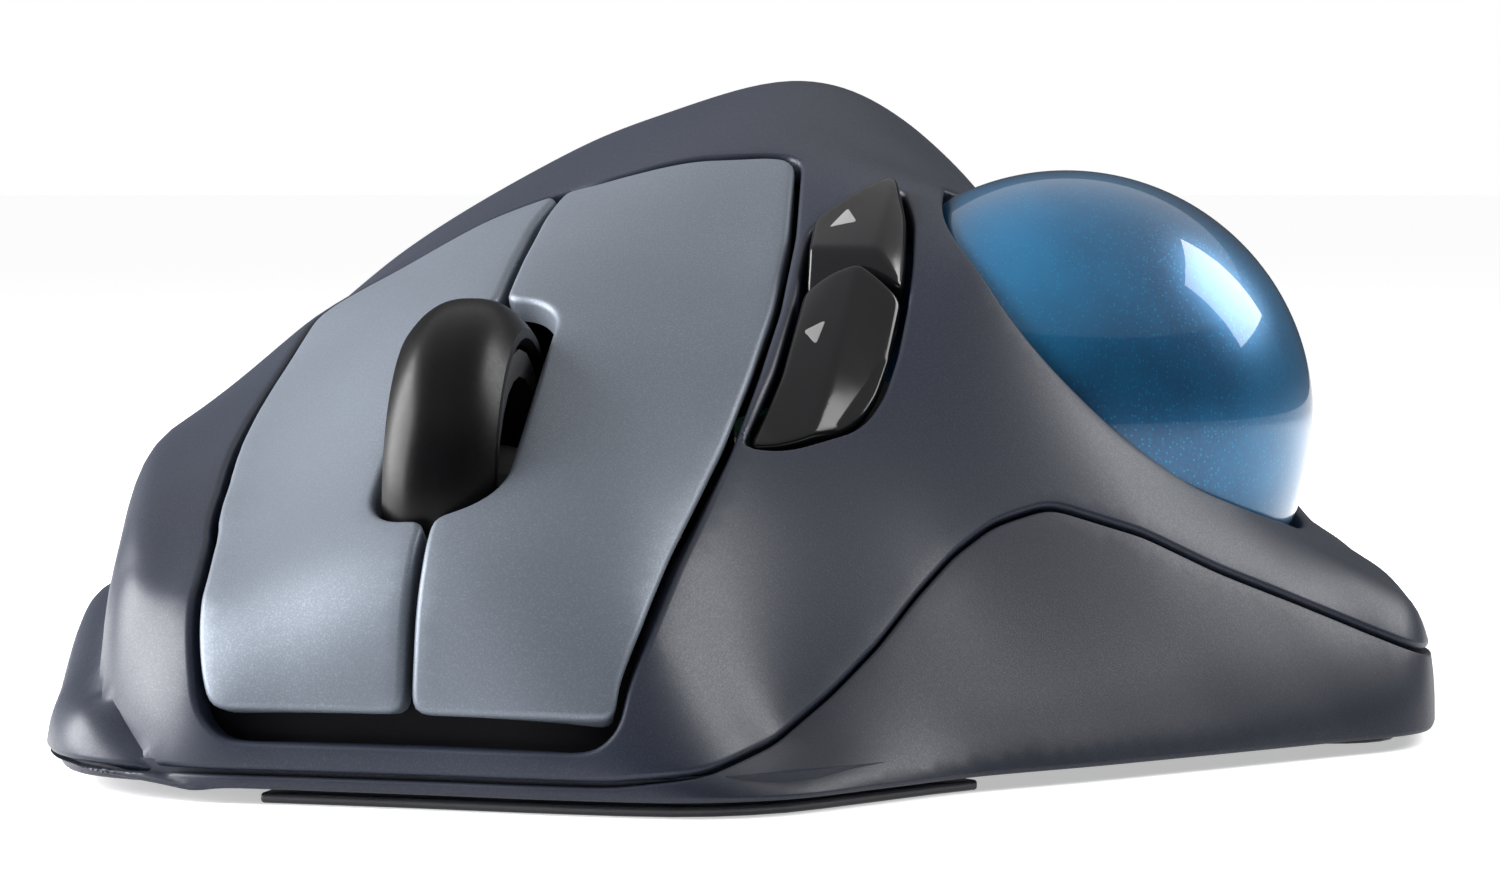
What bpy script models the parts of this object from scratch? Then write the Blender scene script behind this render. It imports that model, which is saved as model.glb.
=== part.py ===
"""Thumb-operated trackball mouse: shells, keys, wheel, ball and the parts inside.

The frame has its origin on the desk below the middle of the mouse. +Y runs from the front lip
to the palm, +Z is up, and +X is the thumb side, where the ball sits.
All sizes below are in millimetres; MM turns them into Blender's metres.
"""
import math

import bmesh
import bpy
import numpy as np
from mathutils import Matrix, Vector

MM = 0.001
COLLECTION = "trackball_mouse"
CUTTERS = "cutters"

# Driving sizes
UNDERSIDE_Z = 0.95            # lowest face of the bottom shell
FOOT_TOP_Z = 0.65             # feet stand from 0 to here
WALL = 1.8                    # thickness of the shells and keys
GAP = 0.45                    # gap round a moving cover
SEAM_GAP = 0.3                # gap between the two shells
FLOOR_Z = 1.05                # underside of the floor, a little inside the rim
FLOOR_TOP_Z = 2.5
RIM_TOP_Z = 1.6               # the floor's rim, which stays below the seam
LIP_Z = 3.8                   # top edge of the front lip
KEY_FRONT_Z = 5.7             # lower edge of the keys' front face
KEY_SLOT_X = -12.6
KEY_SLOT_WIDTH = 0.5
KEY_HINGE = (0.0, -18.0, 33.0)  # the keys turn about X here
SIDE_BUTTON_THICKNESS = 1.6
BALL_CENTRE = (22.3, -16.5, 21.0)
BALL_RADIUS = 17.0
COLLAR_RADIUS = 17.8          # opening in the top shell round the ball
CUP_INNER_RADIUS = 17.9
CUP_OUTER_RADIUS = 19.6
WHEEL_CENTRE = (-12.6, -50.0, 17.4)
WHEEL_RADIUS = 12.5
WHEEL_WIDTH = 7.0

# How finely the freeform skin is divided
SPOKES = 64
RINGS = 11
EDGE_RINGS = [0.935, 0.96, 0.975, 0.986, 0.994, 1.0]   # rings that crowd at the outline
EDGE_TOP_Z = 2.2              # the outline's wall is upright from the underside to here

# Plan outline of the body, anticlockwise from the front
OUTLINE = [
    (-11.7, -70.6), (-3.7, -72.0), (4.3, -72.4), (10.3, -69.6), (15.3, -63.5), (20.3, -57.0),
    (27.3, -50.3), (34.3, -43.0), (41.3, -35.5), (46.4, -29.8), (47.6, -24.0), (47.0, -15.0),
    (44.1, -3.0), (39.8, 12.0), (36.8, 28.0), (31.3, 46.0), (21.3, 61.0), (6.3, 70.4),
    (-9.7, 72.4), (-24.7, 68.0), (-36.7, 55.0), (-43.7, 38.0), (-47.0, 20.0), (-47.3, 0.0),
    (-45.3, -18.0), (-42.5, -36.0), (-39.7, -50.0), (-37.7, -59.0), (-34.2, -65.0),
    (-27.7, -68.2), (-19.7, -69.4),
]

# Points that the upper surface runs through, by feature: (x, y, z)
SURFACE_LINES = {
    "slot_between_keys": [
        (-12.6, -73.0, 10.6), (-12.6, -68.0, 14.2), (-12.6, -63.5, 17.1), (-12.6, -55.0, 22.0),
        (-12.6, -48.0, 25.9), (-12.6, -40.3, 29.5), (-12.6, -33.2, 31.9), (-12.6, -25.1, 34.3),
        (-12.6, -16.2, 36.8), (-12.6, -5.0, 39.3)],
    "thumb_side_of_keys": [
        (0.5, -70.0, 8.6), (1.5, -67.0, 10.9), (2.5, -62.0, 14.0), (3.5, -55.0, 17.9),
        (4.0, -50.0, 20.6), (5.2, -36.0, 28.9), (5.0, -27.0, 33.7), (4.1, -16.0, 39.2)],
    "pinky_side_of_keys": [
        (-25.7, -69.0, 8.5), (-26.7, -66.0, 10.6), (-27.4, -62.0, 12.8), (-27.9, -57.0, 15.0),
        (-28.9, -50.0, 17.8), (-29.4, -42.0, 21.2), (-29.3, -34.0, 24.0), (-29.1, -22.0, 27.9)],
    "rear_of_keys": [(-3.0, -17.0, 38.9), (-17.9, -18.0, 34.5), (-23.5, -20.0, 31.2)],
    "seam": [
        (8.6, -64.0, 4.6), (11.6, -60.0, 6.6), (14.0, -56.0, 9.0), (15.9, -52.0, 11.5),
        (17.8, -48.0, 13.8), (20.0, -45.0, 15.5), (23.3, -42.0, 16.5), (29.1, -39.0, 14.5),
        (33.8, -36.0, 12.0), (38.5, -33.0, 9.9), (43.3, -30.0, 7.7)],
    "thumb_base": [
        (13.3, -65.5, 1.6), (19.3, -58.5, 1.6), (27.3, -50.8, 1.8), (34.3, -43.4, 2.2),
        (41.3, -36.0, 3.2)],
    "collar": [
        (14.2, -20.0, 36.6), (18.2, -30.5, 31.0), (21.7, -33.6, 26.3), (23.8, -34.2, 24.0),
        (27.4, -33.8, 20.6), (32.0, -31.2, 17.2), (37.6, -26.0, 14.0)],
    "lobe": [
        (40.3, -21.0, 12.4), (42.3, -27.0, 11.0), (45.8, -25.0, 9.4), (46.8, -20.0, 8.6),
        (45.3, -10.0, 9.5), (41.3, -5.0, 11.5), (42.3, 3.0, 10.5)],
    "hump": [
        (-28.2, 0.0, 31.6), (-22.2, 10.0, 36.1), (-14.6, 8.0, 40.3), (-6.7, 7.0, 43.0),
        (1.0, 6.0, 44.6), (5.2, 2.0, 43.7), (9.0, 0.0, 41.2), (12.6, -6.0, 38.2),
        (12.7, 0.0, 37.9), (10.3, -12.0, 38.4)],
    "behind_ball": [
        (9.7, 5.0, 41.0), (13.5, 5.0, 37.4), (16.3, 5.0, 34.0), (21.3, 6.0, 28.5),
        (27.3, 7.0, 22.0), (33.3, 7.0, 16.5), (39.3, 6.0, 12.0)],
    "palm": [
        (-2.7, 18.0, 43.6), (-3.7, 32.0, 40.0), (-4.7, 46.0, 33.0), (-4.7, 60.0, 22.5),
        (-3.7, 70.0, 12.0), (-10.7, 18.0, 41.6), (-20.7, 18.0, 37.5), (-29.7, 14.0, 31.0),
        (-20.7, 36.0, 34.0), (-20.7, 52.0, 25.0), (-20.7, 66.0, 12.0), (5.3, 18.0, 41.4),
        (11.3, 18.0, 36.4), (18.3, 18.0, 30.5), (15.3, 34.0, 31.0), (13.3, 50.0, 24.5),
        (11.3, 64.0, 13.0), (27.3, 18.0, 22.5), (27.3, 32.0, 20.5), (25.3, 46.0, 17.0),
        (35.3, 16.0, 15.5), (34.3, 30.0, 14.0), (30.3, 44.0, 11.0)],
    "pinky_rest": [
        (-31.7, -64.0, 10.6), (-33.7, -59.0, 13.6), (-34.7, -55.0, 15.4), (-34.4, -50.0, 17.2),
        (-34.7, -44.0, 18.9), (-34.7, -38.0, 20.4), (-35.0, -30.0, 21.8), (-35.7, -20.0, 22.6),
        (-37.2, -8.0, 22.8), (-38.7, 4.0, 23.0), (-39.2, 18.0, 22.5), (-38.2, 34.0, 20.0),
        (-34.7, 50.0, 14.0), (-27.7, 62.0, 8.5)],
}
SURFACE_SMOOTHING = 1.0

# The two keys: their shared outer outline, from the thumb-side front corner round the rear
KEYS_OUTLINE = [
    (0.7, -80.0), (0.7, -70.4), (1.7, -67.2), (2.5, -62.0), (3.5, -55.0), (4.1, -50.0),
    (4.8, -43.0), (5.2, -36.0), (5.0, -27.0), (4.2, -17.6), (3.0, -16.4), (-3.0, -16.9),
    (-12.6, -17.1), (-18.2, -17.8), (-23.6, -19.7), (-28.2, -22.0), (-29.2, -23.6),
    (-29.4, -34.0), (-29.4, -42.0), (-28.9, -50.0), (-27.9, -57.0), (-27.3, -62.0),
    (-26.8, -66.0), (-25.4, -68.6), (-25.4, -80.0),
]
WHEEL_OPENING = {"x": (-16.7, -8.4), "y": (-63.4, -40.1), "corner": 3.9}

# The pocket of the two side buttons, anticlockwise from its front corner
POCKET_OUTLINE = [
    (4.6, -49.4), (8.3, -46.9), (10.9, -44.6), (11.9, -43.2), (12.7, -41.2), (13.2, -38.3),
    (13.4, -34.6), (13.3, -30.9), (12.9, -26.6), (11.6, -21.6), (10.6, -21.1), (5.9, -26.6),
    (6.1, -34.6), (5.7, -42.0),
]
BUTTON_SPLIT = [(5.0, -35.3), (8.1, -33.1), (10.1, -32.4), (14.5, -34.6)]

# Height of the seam between the shells across the front of the thumb flank: (x, z)
SEAM_PROFILE = [
    (-60.0, 1.7), (0.0, 1.8), (5.6, 2.5), (8.6, 3.7), (11.6, 6.2), (14.0, 8.8), (15.9, 11.5),
    (17.8, 13.8), (20.0, 15.5), (23.3, 16.5), (29.1, 14.5), (33.8, 12.0), (38.5, 9.9),
    (43.3, 7.7), (48.3, 5.4), (60.0, 5.2),
]
SEAM_FRONT_ENDS_Y = -24.0     # behind this the seam drops to its height at the sides
SEAM_SIDE_STARTS_Y = -12.0
SEAM_REAR_Z = 2.4

# Inside
EJECT_HOLE_RADIUS = 6.0
SENSOR_TILT = math.radians(18.0)
BEARING_RADIUS = 1.25
BEARING_ANGLE = math.radians(-45.0)
BEARING_AZIMUTHS = [90.0, 210.0, 330.0]
BATTERY_RADIUS = 7.25
BATTERY_LENGTH = 49.2
BATTERY_CENTRE = (-12.6, 29.4, 10.7)
DOOR = {"x": (-22.4, -2.8), "y": (-11.6, 59.0), "z": (1.0, 2.4)}
POWER_SLOT = {"centre": (17.0, 28.0), "size": (9.0, 5.0)}
SCREW_PLACES = [(-31.0, -40.0), (9.5, -52.0), (-36.5, 28.0), (18.0, 54.0), (36.0, 12.0)]
SCREW_LENGTH = 8.0
BOSS_RADIUS = 2.9

# Plain finishes: colour, roughness, metallic
FINISHES = {
    "shell": ((0.050, 0.058, 0.080), 0.50, 0.15),
    "base": ((0.040, 0.047, 0.066), 0.55, 0.10),
    "key": ((0.105, 0.120, 0.150), 0.42, 0.35),
    "gloss_black": ((0.010, 0.010, 0.011), 0.12, 0.0),
    "rubber": ((0.012, 0.012, 0.013), 0.60, 0.0),
    "ball": ((0.010, 0.075, 0.230), 0.08, 0.20),
    "steel": ((0.550, 0.560, 0.580), 0.30, 1.0),
    "ceramic": ((0.850, 0.850, 0.840), 0.20, 0.0),
    "board": ((0.020, 0.130, 0.060), 0.45, 0.0),
    "chip": ((0.020, 0.020, 0.022), 0.50, 0.0),
    "clear": ((0.750, 0.800, 0.850), 0.10, 0.0),
    "inner": ((0.030, 0.030, 0.034), 0.60, 0.0),
    "battery": ((0.120, 0.120, 0.130), 0.35, 0.3),
    "switch": ((0.060, 0.060, 0.065), 0.50, 0.0),
}


# ---------------------------------------------------------------- scene helpers

def clear_scene():
    """Remove what a new file holds."""
    for item in list(bpy.data.objects):
        bpy.data.objects.remove(item, do_unlink=True)
    for group in list(bpy.data.collections):
        bpy.data.collections.remove(group)


def make_collection(name):
    """Return a new collection under the scene's own."""
    group = bpy.data.collections.new(name)
    bpy.context.scene.collection.children.link(group)
    return group


def finish(name):
    """Return the material for one of FINISHES, made on first use."""
    material = bpy.data.materials.get(name)
    if material:
        return material
    colour, roughness, metallic = FINISHES[name]
    material = bpy.data.materials.new(name)
    material.use_nodes = True
    shader = material.node_tree.nodes["Principled BSDF"]
    shader.inputs["Base Color"].default_value = (*colour, 1.0)
    shader.inputs["Roughness"].default_value = roughness
    shader.inputs["Metallic"].default_value = metallic
    material.diffuse_color = (*colour, 1.0)
    return material


def add_part(name, mesh, look, place=(0.0, 0.0, 0.0), smooth=30.0):
    """Add a mesh as a named part at a place given in millimetres."""
    mesh.name = name
    part = bpy.data.objects.new(name, mesh)
    bpy.data.collections[COLLECTION].objects.link(part)
    mesh.materials.clear()
    mesh.materials.append(finish(look))
    mesh.shade_smooth()
    mesh.set_sharp_from_angle(angle=math.radians(smooth))
    part.location = Vector(place) * MM
    return part


def add_cutter(name, mesh):
    """Add a mesh as a hidden cutter."""
    cutter = bpy.data.objects.new(name, mesh)
    bpy.data.collections[CUTTERS].objects.link(cutter)
    cutter.hide_render = True
    cutter.display_type = "WIRE"
    return cutter


def evaluated_mesh(item):
    """Return a copy of an object's mesh with its modifiers applied."""
    bpy.context.view_layer.update()
    graph = bpy.context.evaluated_depsgraph_get()
    return bpy.data.meshes.new_from_object(item.evaluated_get(graph))


def combine(mesh, cutter_mesh, operation):
    """Return the Boolean of two meshes that share one frame."""
    target = bpy.data.objects.new("target", mesh)
    bpy.data.collections[CUTTERS].objects.link(target)
    tool = add_cutter("tool", cutter_mesh)
    modifier = target.modifiers.new("cut", "BOOLEAN")
    modifier.operation = operation
    modifier.solver = "EXACT"
    modifier.object = tool
    result = evaluated_mesh(target)
    bpy.data.objects.remove(target, do_unlink=True)
    bpy.data.objects.remove(tool, do_unlink=True)
    return tidy(result)


def cut(mesh, *tools):
    """Return a mesh with each tool taken away from it."""
    for tool in tools:
        mesh = combine(mesh, tool, "DIFFERENCE")
    return mesh


def tidy(mesh):
    """Merge doubled points and turn all faces outward."""
    work = bmesh.new()
    work.from_mesh(mesh)
    bmesh.ops.remove_doubles(work, verts=work.verts, dist=0.0005 * MM)
    bmesh.ops.recalc_face_normals(work, faces=work.faces)
    if work.calc_volume(signed=True) < 0:
        bmesh.ops.reverse_faces(work, faces=work.faces)
    work.to_mesh(mesh)
    work.free()
    return mesh


def largest_piece(mesh):
    """Return the mesh with only its largest connected piece."""
    work = bmesh.new()
    work.from_mesh(mesh)
    seen = set()
    pieces = []
    for start in work.verts:
        if start in seen:
            continue
        stack = [start]
        piece = []
        seen.add(start)
        while stack:
            point = stack.pop()
            piece.append(point)
            for edge in point.link_edges:
                other = edge.other_vert(point)
                if other not in seen:
                    seen.add(other)
                    stack.append(other)
        pieces.append(piece)
    keep = set(max(pieces, key=len))
    bmesh.ops.delete(work, geom=[v for v in work.verts if v not in keep], context="VERTS")
    if work.calc_volume(signed=True) < 0:
        bmesh.ops.reverse_faces(work, faces=work.faces)
    work.to_mesh(mesh)
    work.free()
    return mesh


# ---------------------------------------------------------------- simple solids

def mesh_from(work):
    """Turn a bmesh into a mesh with outward faces."""
    bmesh.ops.recalc_face_normals(work, faces=work.faces)
    mesh = bpy.data.meshes.new("mesh")
    work.to_mesh(mesh)
    work.free()
    return mesh


def box(low, high, bevel=0.0):
    """Return a box between two corners in millimetres, with rounded edges."""
    work = bmesh.new()
    bmesh.ops.create_cube(work, size=1.0)
    size = [high[i] - low[i] for i in range(3)]
    middle = [(high[i] + low[i]) / 2 for i in range(3)]
    bmesh.ops.scale(work, vec=Vector(size) * MM, verts=work.verts)
    bmesh.ops.translate(work, vec=Vector(middle) * MM, verts=work.verts)
    if bevel:
        bmesh.ops.bevel(work, geom=work.edges, offset=bevel * MM, segments=2, affect="EDGES",
                        profile=0.5)
    return mesh_from(work)


def cylinder(radius, low, high, place=(0.0, 0.0), sides=32):
    """Return an upright cylinder between two heights."""
    work = bmesh.new()
    bmesh.ops.create_cone(work, cap_ends=True, segments=sides, radius1=radius * MM,
                          radius2=radius * MM, depth=(high - low) * MM)
    centre = Vector((place[0], place[1], (low + high) / 2)) * MM
    bmesh.ops.translate(work, vec=centre, verts=work.verts)
    return mesh_from(work)


def ball(radius, place=(0.0, 0.0, 0.0), sides=48):
    """Return a sphere."""
    work = bmesh.new()
    bmesh.ops.create_uvsphere(work, u_segments=sides, v_segments=sides // 2, radius=radius * MM)
    bmesh.ops.translate(work, vec=Vector(place) * MM, verts=work.verts)
    return mesh_from(work)


def prism(outline, low, high):
    """Return a plan outline extruded between two heights."""
    work = bmesh.new()
    loop = [work.verts.new((x * MM, y * MM, low * MM)) for x, y in outline]
    base = work.faces.new(loop)
    lifted = bmesh.ops.extrude_face_region(work, geom=[base])
    points = [g for g in lifted["geom"] if isinstance(g, bmesh.types.BMVert)]
    bmesh.ops.translate(work, vec=(0.0, 0.0, (high - low) * MM), verts=points)
    return mesh_from(work)


def turned(profile, steps=40):
    """Return a solid turned about Z from a profile of (radius, height), top to bottom outside."""
    mesh = bpy.data.meshes.new("profile")
    points = [(r * MM, 0.0, z * MM) for r, z in profile]
    closed = profile[0][0] > 0
    edges = [(i, i + 1) for i in range(len(points) - 1)]
    if closed:
        edges.append((len(points) - 1, 0))
    mesh.from_pydata(points, edges, [])
    item = bpy.data.objects.new("profile", mesh)
    bpy.data.collections[CUTTERS].objects.link(item)
    screw = item.modifiers.new("turn", "SCREW")
    screw.steps = steps
    screw.render_steps = steps
    screw.use_merge_vertices = True
    screw.merge_threshold = 0.00001
    result = evaluated_mesh(item)
    bpy.data.objects.remove(item, do_unlink=True)
    return tidy(result)


def moved(mesh, matrix):
    """Return the mesh after a transform given with lengths in metres."""
    mesh.transform(matrix)
    mesh.update()
    return mesh


def shift(x, y, z):
    """Return a translation given in millimetres."""
    return Matrix.Translation(Vector((x, y, z)) * MM)


def turn(degrees, axis):
    """Return a rotation about one of the frame's axes."""
    return Matrix.Rotation(math.radians(degrees), 4, axis)


def rounded_rectangle(x_range, y_range, corner, steps=5):
    """Return a plan outline with round corners, anticlockwise."""
    centres = [
        (x_range[1] - corner, y_range[0] + corner, -90.0),
        (x_range[1] - corner, y_range[1] - corner, 0.0),
        (x_range[0] + corner, y_range[1] - corner, 90.0),
        (x_range[0] + corner, y_range[0] + corner, 180.0),
    ]
    outline = []
    for x, y, start in centres:
        for step in range(steps + 1):
            angle = math.radians(start + 90.0 * step / steps)
            outline.append((x + corner * math.cos(angle), y + corner * math.sin(angle)))
    return outline


def offset_outline(outline, distance):
    """Return an anticlockwise outline moved outward by a distance, with mitred corners."""
    points = np.array(outline, float)
    before = points - np.roll(points, 1, axis=0)
    after = np.roll(points, -1, axis=0) - points
    before /= np.linalg.norm(before, axis=1)[:, None]
    after /= np.linalg.norm(after, axis=1)[:, None]
    normal_before = np.stack([before[:, 1], -before[:, 0]], axis=1)
    normal_after = np.stack([after[:, 1], -after[:, 0]], axis=1)
    middle = normal_before + normal_after
    middle /= np.linalg.norm(middle, axis=1)[:, None]
    stretch = distance / np.maximum((middle * normal_after).sum(axis=1), 0.5)
    return [tuple(p) for p in points + middle * stretch[:, None]]


# ---------------------------------------------------------------- the body's surface

def closed_curve(points, steps):
    """Return a smooth closed curve through the points, with steps samples a span."""
    hold = np.array(points, float)
    share = (np.arange(steps) / steps)[:, None]
    spans = []
    for i in range(len(hold)):
        a, b = hold[i - 1], hold[i]
        c, d = hold[(i + 1) % len(hold)], hold[(i + 2) % len(hold)]
        spans.append(0.5 * (2 * b + (c - a) * share + (2 * a - 5 * b + 4 * c - d) * share ** 2
                            + (3 * b - 3 * c + d - a) * share ** 3))
    return np.vstack(spans)


def thin_plate(distance):
    """Return the thin-plate kernel of a distance."""
    return np.where(distance > 0, distance ** 2 * np.log(np.maximum(distance, 1e-9)), 0.0)


class Surface:
    """The upper surface of the body as a height over the plan."""

    def __init__(self):
        self.edge = closed_curve(OUTLINE, 10)
        points = np.array([p for line in SURFACE_LINES.values() for p in line])
        self.places = points[:, :2]
        count = len(points)
        kernel = thin_plate(np.linalg.norm(self.places[:, None] - self.places[None], axis=2))
        system = np.zeros((count + 3, count + 3))
        system[:count, :count] = kernel + SURFACE_SMOOTHING * np.eye(count)
        system[:count, count] = 1.0
        system[:count, count + 1:] = self.places
        system[count, :count] = 1.0
        system[count + 1:, :count] = self.places.T
        self.weights = np.linalg.solve(system, np.r_[points[:, 2], 0.0, 0.0, 0.0])

    def crown(self, places):
        """Return the height of the smooth sheet through all the surface lines."""
        count = len(self.places)
        kernel = thin_plate(np.linalg.norm(places[:, None] - self.places[None], axis=2))
        tilt = places @ self.weights[count + 1:]
        return kernel @ self.weights[:count] + self.weights[count] + tilt

    def inset(self, places):
        """Return how far each place lies inside the outline."""
        best = np.full(len(places), 1e9)
        ends = np.roll(self.edge, -1, axis=0)
        for start, end in zip(self.edge, ends):
            along = end - start
            share = np.clip((places - start) @ along / max(along @ along, 1e-12), 0, 1)
            gap = np.linalg.norm(places - (start + share[:, None] * along), axis=1)
            best = np.minimum(best, gap)
        return best

    def height(self, places):
        """Return the height of the finished surface, walls rounded down to the base."""
        x, y = places[:, 0], places[:, 1]
        inset = self.inset(places)
        crown = smooth_max(self.crown(places), 1.6, 2.4)
        side = ease((-x - 8.7) / 14) * ease((y + 66) / 8)
        corner = ease((-x - 23.0) / 12) * ease((y + 72) / 9)
        skirt = 3.3 * np.maximum(side, corner) * (1 - ease((y - 20) / 30))
        thumb = ease((x - 3.3) / 9) * (1 - ease((y - 4) / 24))
        rear = ease((y - 25) / 30)
        pinky = ease((-x - 22.7) / 8) * ease((y + 68) / 8)
        front = 6.0 - 2.8 * pinky
        width = front * (1 - thumb) * (1 - rear) + 2.6 * thumb + 16.0 * rear
        body = UNDERSIDE_Z + (crown - UNDERSIDE_Z) * rolled(np.maximum(inset - skirt, 0), width)
        ledge = 4.6 + 4.6 * ease((y + 62) / 32) - 3.5 * ease(y / 40) + 0.35 * inset
        low = UNDERSIDE_Z + (np.minimum(ledge, crown + 2) - UNDERSIDE_Z) * rolled(inset, 1.8)
        share = skirt / 3.3
        fillet = (3.4 - 1.6 * ease((y + 50) / 20)) * share + 0.001
        blend = smooth_max(body, low * share + body * (1 - share), fillet)
        return np.where(skirt > 0.02, blend, body)

    def steepness(self, places):
        """Return how much thicker a wall is upright than square to the surface."""
        step = 0.4
        here = self.height(places)
        across = (self.height(places + [step, 0.0]) - here) / step
        along = (self.height(places + [0.0, step]) - here) / step
        return np.minimum(np.sqrt(1 + across ** 2 + along ** 2), 2.2)


def ease(value):
    """Return a smooth step from 0 to 1."""
    value = np.clip(value, 0, 1)
    return value * value * (3 - 2 * value)


def rolled(inset, width, power=2.8):
    """Return how much of the height is reached at a distance from the edge."""
    share = np.clip(1 - inset / width, 0, 1)
    return (1 - share ** power) ** (1 / power)


def smooth_max(first, second, reach):
    """Return the larger of two heights, blended where they meet."""
    share = np.clip(0.5 + 0.5 * (first - second) / reach, 0, 1)
    return second + (first - second) * share + reach * share * (1 - share)


def body_grid(surface, depth):
    """Return the points of a skin that lies a depth inside the body, from the middle outward."""
    edge = surface.edge
    if depth:
        edge = np.array(offset_outline([tuple(p) for p in edge], -depth))
    angles = np.linspace(0, 2 * math.pi, SPOKES, endpoint=False)
    bearing = np.mod(np.arctan2(edge[:, 1], edge[:, 0]), 2 * math.pi)
    reach = np.linalg.norm(edge, axis=1)
    order = np.argsort(bearing)
    bearing, reach = bearing[order], reach[order]
    spread = np.interp(angles, np.r_[bearing - 2 * math.pi, bearing, bearing + 2 * math.pi],
                       np.tile(reach, 3))
    rings = []
    for share in np.r_[0.0, np.linspace(0.10, 0.90, RINGS), EDGE_RINGS]:
        flat = np.stack([np.cos(angles), np.sin(angles)], axis=1) * (spread * share)[:, None]
        height = surface.height(flat)
        if depth:
            height = height - depth * surface.steepness(flat)
            height = np.maximum(height, UNDERSIDE_Z + 0.4)
        elif share == 1.0:
            height = np.full(len(flat), EDGE_TOP_Z)
        rings.append(np.column_stack([flat, height]))
    rings.append(np.column_stack([flat, np.full(len(flat), UNDERSIDE_Z)]))
    return np.array(rings)


def add_skin(work, rings, facing):
    """Add one skin to a bmesh, facing out (1) or in (-1), and return its lowest ring."""
    middle = work.verts.new(Vector(rings[0][0]) * MM)
    rows = [[work.verts.new(Vector(p) * MM) for p in ring] for ring in rings[1:]]
    for i in range(SPOKES):
        j = (i + 1) % SPOKES
        work.faces.new((middle, rows[0][i], rows[0][j])[::facing])
        for upper, lower in zip(rows, rows[1:]):
            work.faces.new((upper[i], lower[i], lower[j], upper[j])[::facing])
    return rows[-1]


def shell_mesh(surface):
    """Return the hollow body, one wall thick and open below."""
    work = bmesh.new()
    outside = add_skin(work, body_grid(surface, 0.0), 1)
    inside = add_skin(work, body_grid(surface, WALL), -1)
    for i in range(SPOKES):
        j = (i + 1) % SPOKES
        work.faces.new((outside[i], inside[i], inside[j], outside[j]))
    return mesh_from(work)


def inside_mesh(surface, depth):
    """Return the closed space that lies a depth below the skin."""
    work = bmesh.new()
    last = add_skin(work, body_grid(surface, depth), 1)
    work.faces.new(list(reversed(last)))
    return mesh_from(work)


def seam_height(x, y):
    """Return the height of the seam between the shells at a place."""
    profile = np.array(SEAM_PROFILE)
    front = float(np.interp(x, profile[:, 0], profile[:, 1]))
    side = float(np.interp(x, [0.0, 36.0, 44.0], [SEAM_REAR_Z, SEAM_REAR_Z, 5.4]))
    share = float(ease((y - SEAM_FRONT_ENDS_Y) / (SEAM_SIDE_STARTS_Y - SEAM_FRONT_ENDS_Y)))
    share_low = float(ease((y - 0.0) / 30.0))
    low = side * (1 - share_low) + SEAM_REAR_Z * share_low
    return front * (1 - share) + low * share


def seam_block(lift):
    """Return all that lies below the seam, lifted by an amount."""
    xs = sorted(set([-60.0, -30.0] + [p[0] for p in SEAM_PROFILE[1:]] + [26.0, 36.0]))
    ys = [-90.0, SEAM_FRONT_ENDS_Y, -20.0, -16.0, SEAM_SIDE_STARTS_Y, 0.0, 10.0, 20.0, 30.0, 90.0]
    work = bmesh.new()
    tops = [[work.verts.new((x * MM, y * MM, (seam_height(x, y) + lift) * MM)) for x in xs]
            for y in ys]
    lows = [[work.verts.new((x * MM, y * MM, -10 * MM)) for x in xs] for y in ys]
    for grid in (tops, lows):
        for row, after in zip(grid, grid[1:]):
            for i in range(len(xs) - 1):
                work.faces.new((row[i], row[i + 1], after[i + 1], after[i]))
    border = [(0, i) for i in range(len(xs))]
    border += [(j, len(xs) - 1) for j in range(1, len(ys))]
    border += [(len(ys) - 1, i) for i in range(len(xs) - 2, -1, -1)]
    border += [(j, 0) for j in range(len(ys) - 2, 0, -1)]
    for (a, b), (c, d) in zip(border, border[1:] + border[:1]):
        work.faces.new((tops[a][b], tops[c][d], lows[c][d], lows[a][b]))
    return mesh_from(work)


# ---------------------------------------------------------------- shells and keys

def keys_region(grow, low):
    """Return a prism over both keys, grown or shrunk by an amount."""
    return prism(offset_outline(KEYS_OUTLINE, grow), low, 60.0)


def wheel_opening(grow):
    """Return the prism of the opening that the wheel stands in."""
    x_range = (WHEEL_OPENING["x"][0] - grow, WHEEL_OPENING["x"][1] + grow)
    y_range = (WHEEL_OPENING["y"][0] - grow, WHEEL_OPENING["y"][1] + grow)
    outline = rounded_rectangle(x_range, y_range, WHEEL_OPENING["corner"] + grow)
    return prism(outline, -5.0, 60.0)


def eject_hole():
    """Return the cutter of the hole below the ball."""
    return cylinder(EJECT_HOLE_RADIUS, -2.0, 12.0, BALL_CENTRE[:2], 28)


def make_top_shell(surface, shell):
    """Add the upper housing with its openings and screw bosses."""
    inside = inside_mesh(surface, 0.9)
    bosses = None
    for x, y in SCREW_PLACES:
        column = cylinder(BOSS_RADIUS, FLOOR_TOP_Z + SEAM_GAP, 60.0, (x, y), 24)
        column = combine(column, inside.copy(), "INTERSECT")
        bosses = column if bosses is None else combine(bosses, column, "UNION")
    mesh = cut(combine(shell.copy(), bosses, "UNION"), seam_block(SEAM_GAP))
    mesh = cut(mesh, ball(COLLAR_RADIUS, BALL_CENTRE, 36), keys_region(0.0, LIP_Z),
               prism(POCKET_OUTLINE, 5.0, 60.0))
    for x, y in SCREW_PLACES:
        mesh = cut(mesh, cylinder(1.35, -2.0, FLOOR_TOP_Z + SCREW_LENGTH, (x, y), 20))
    add_part("top_shell", largest_piece(mesh), "shell")


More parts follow.
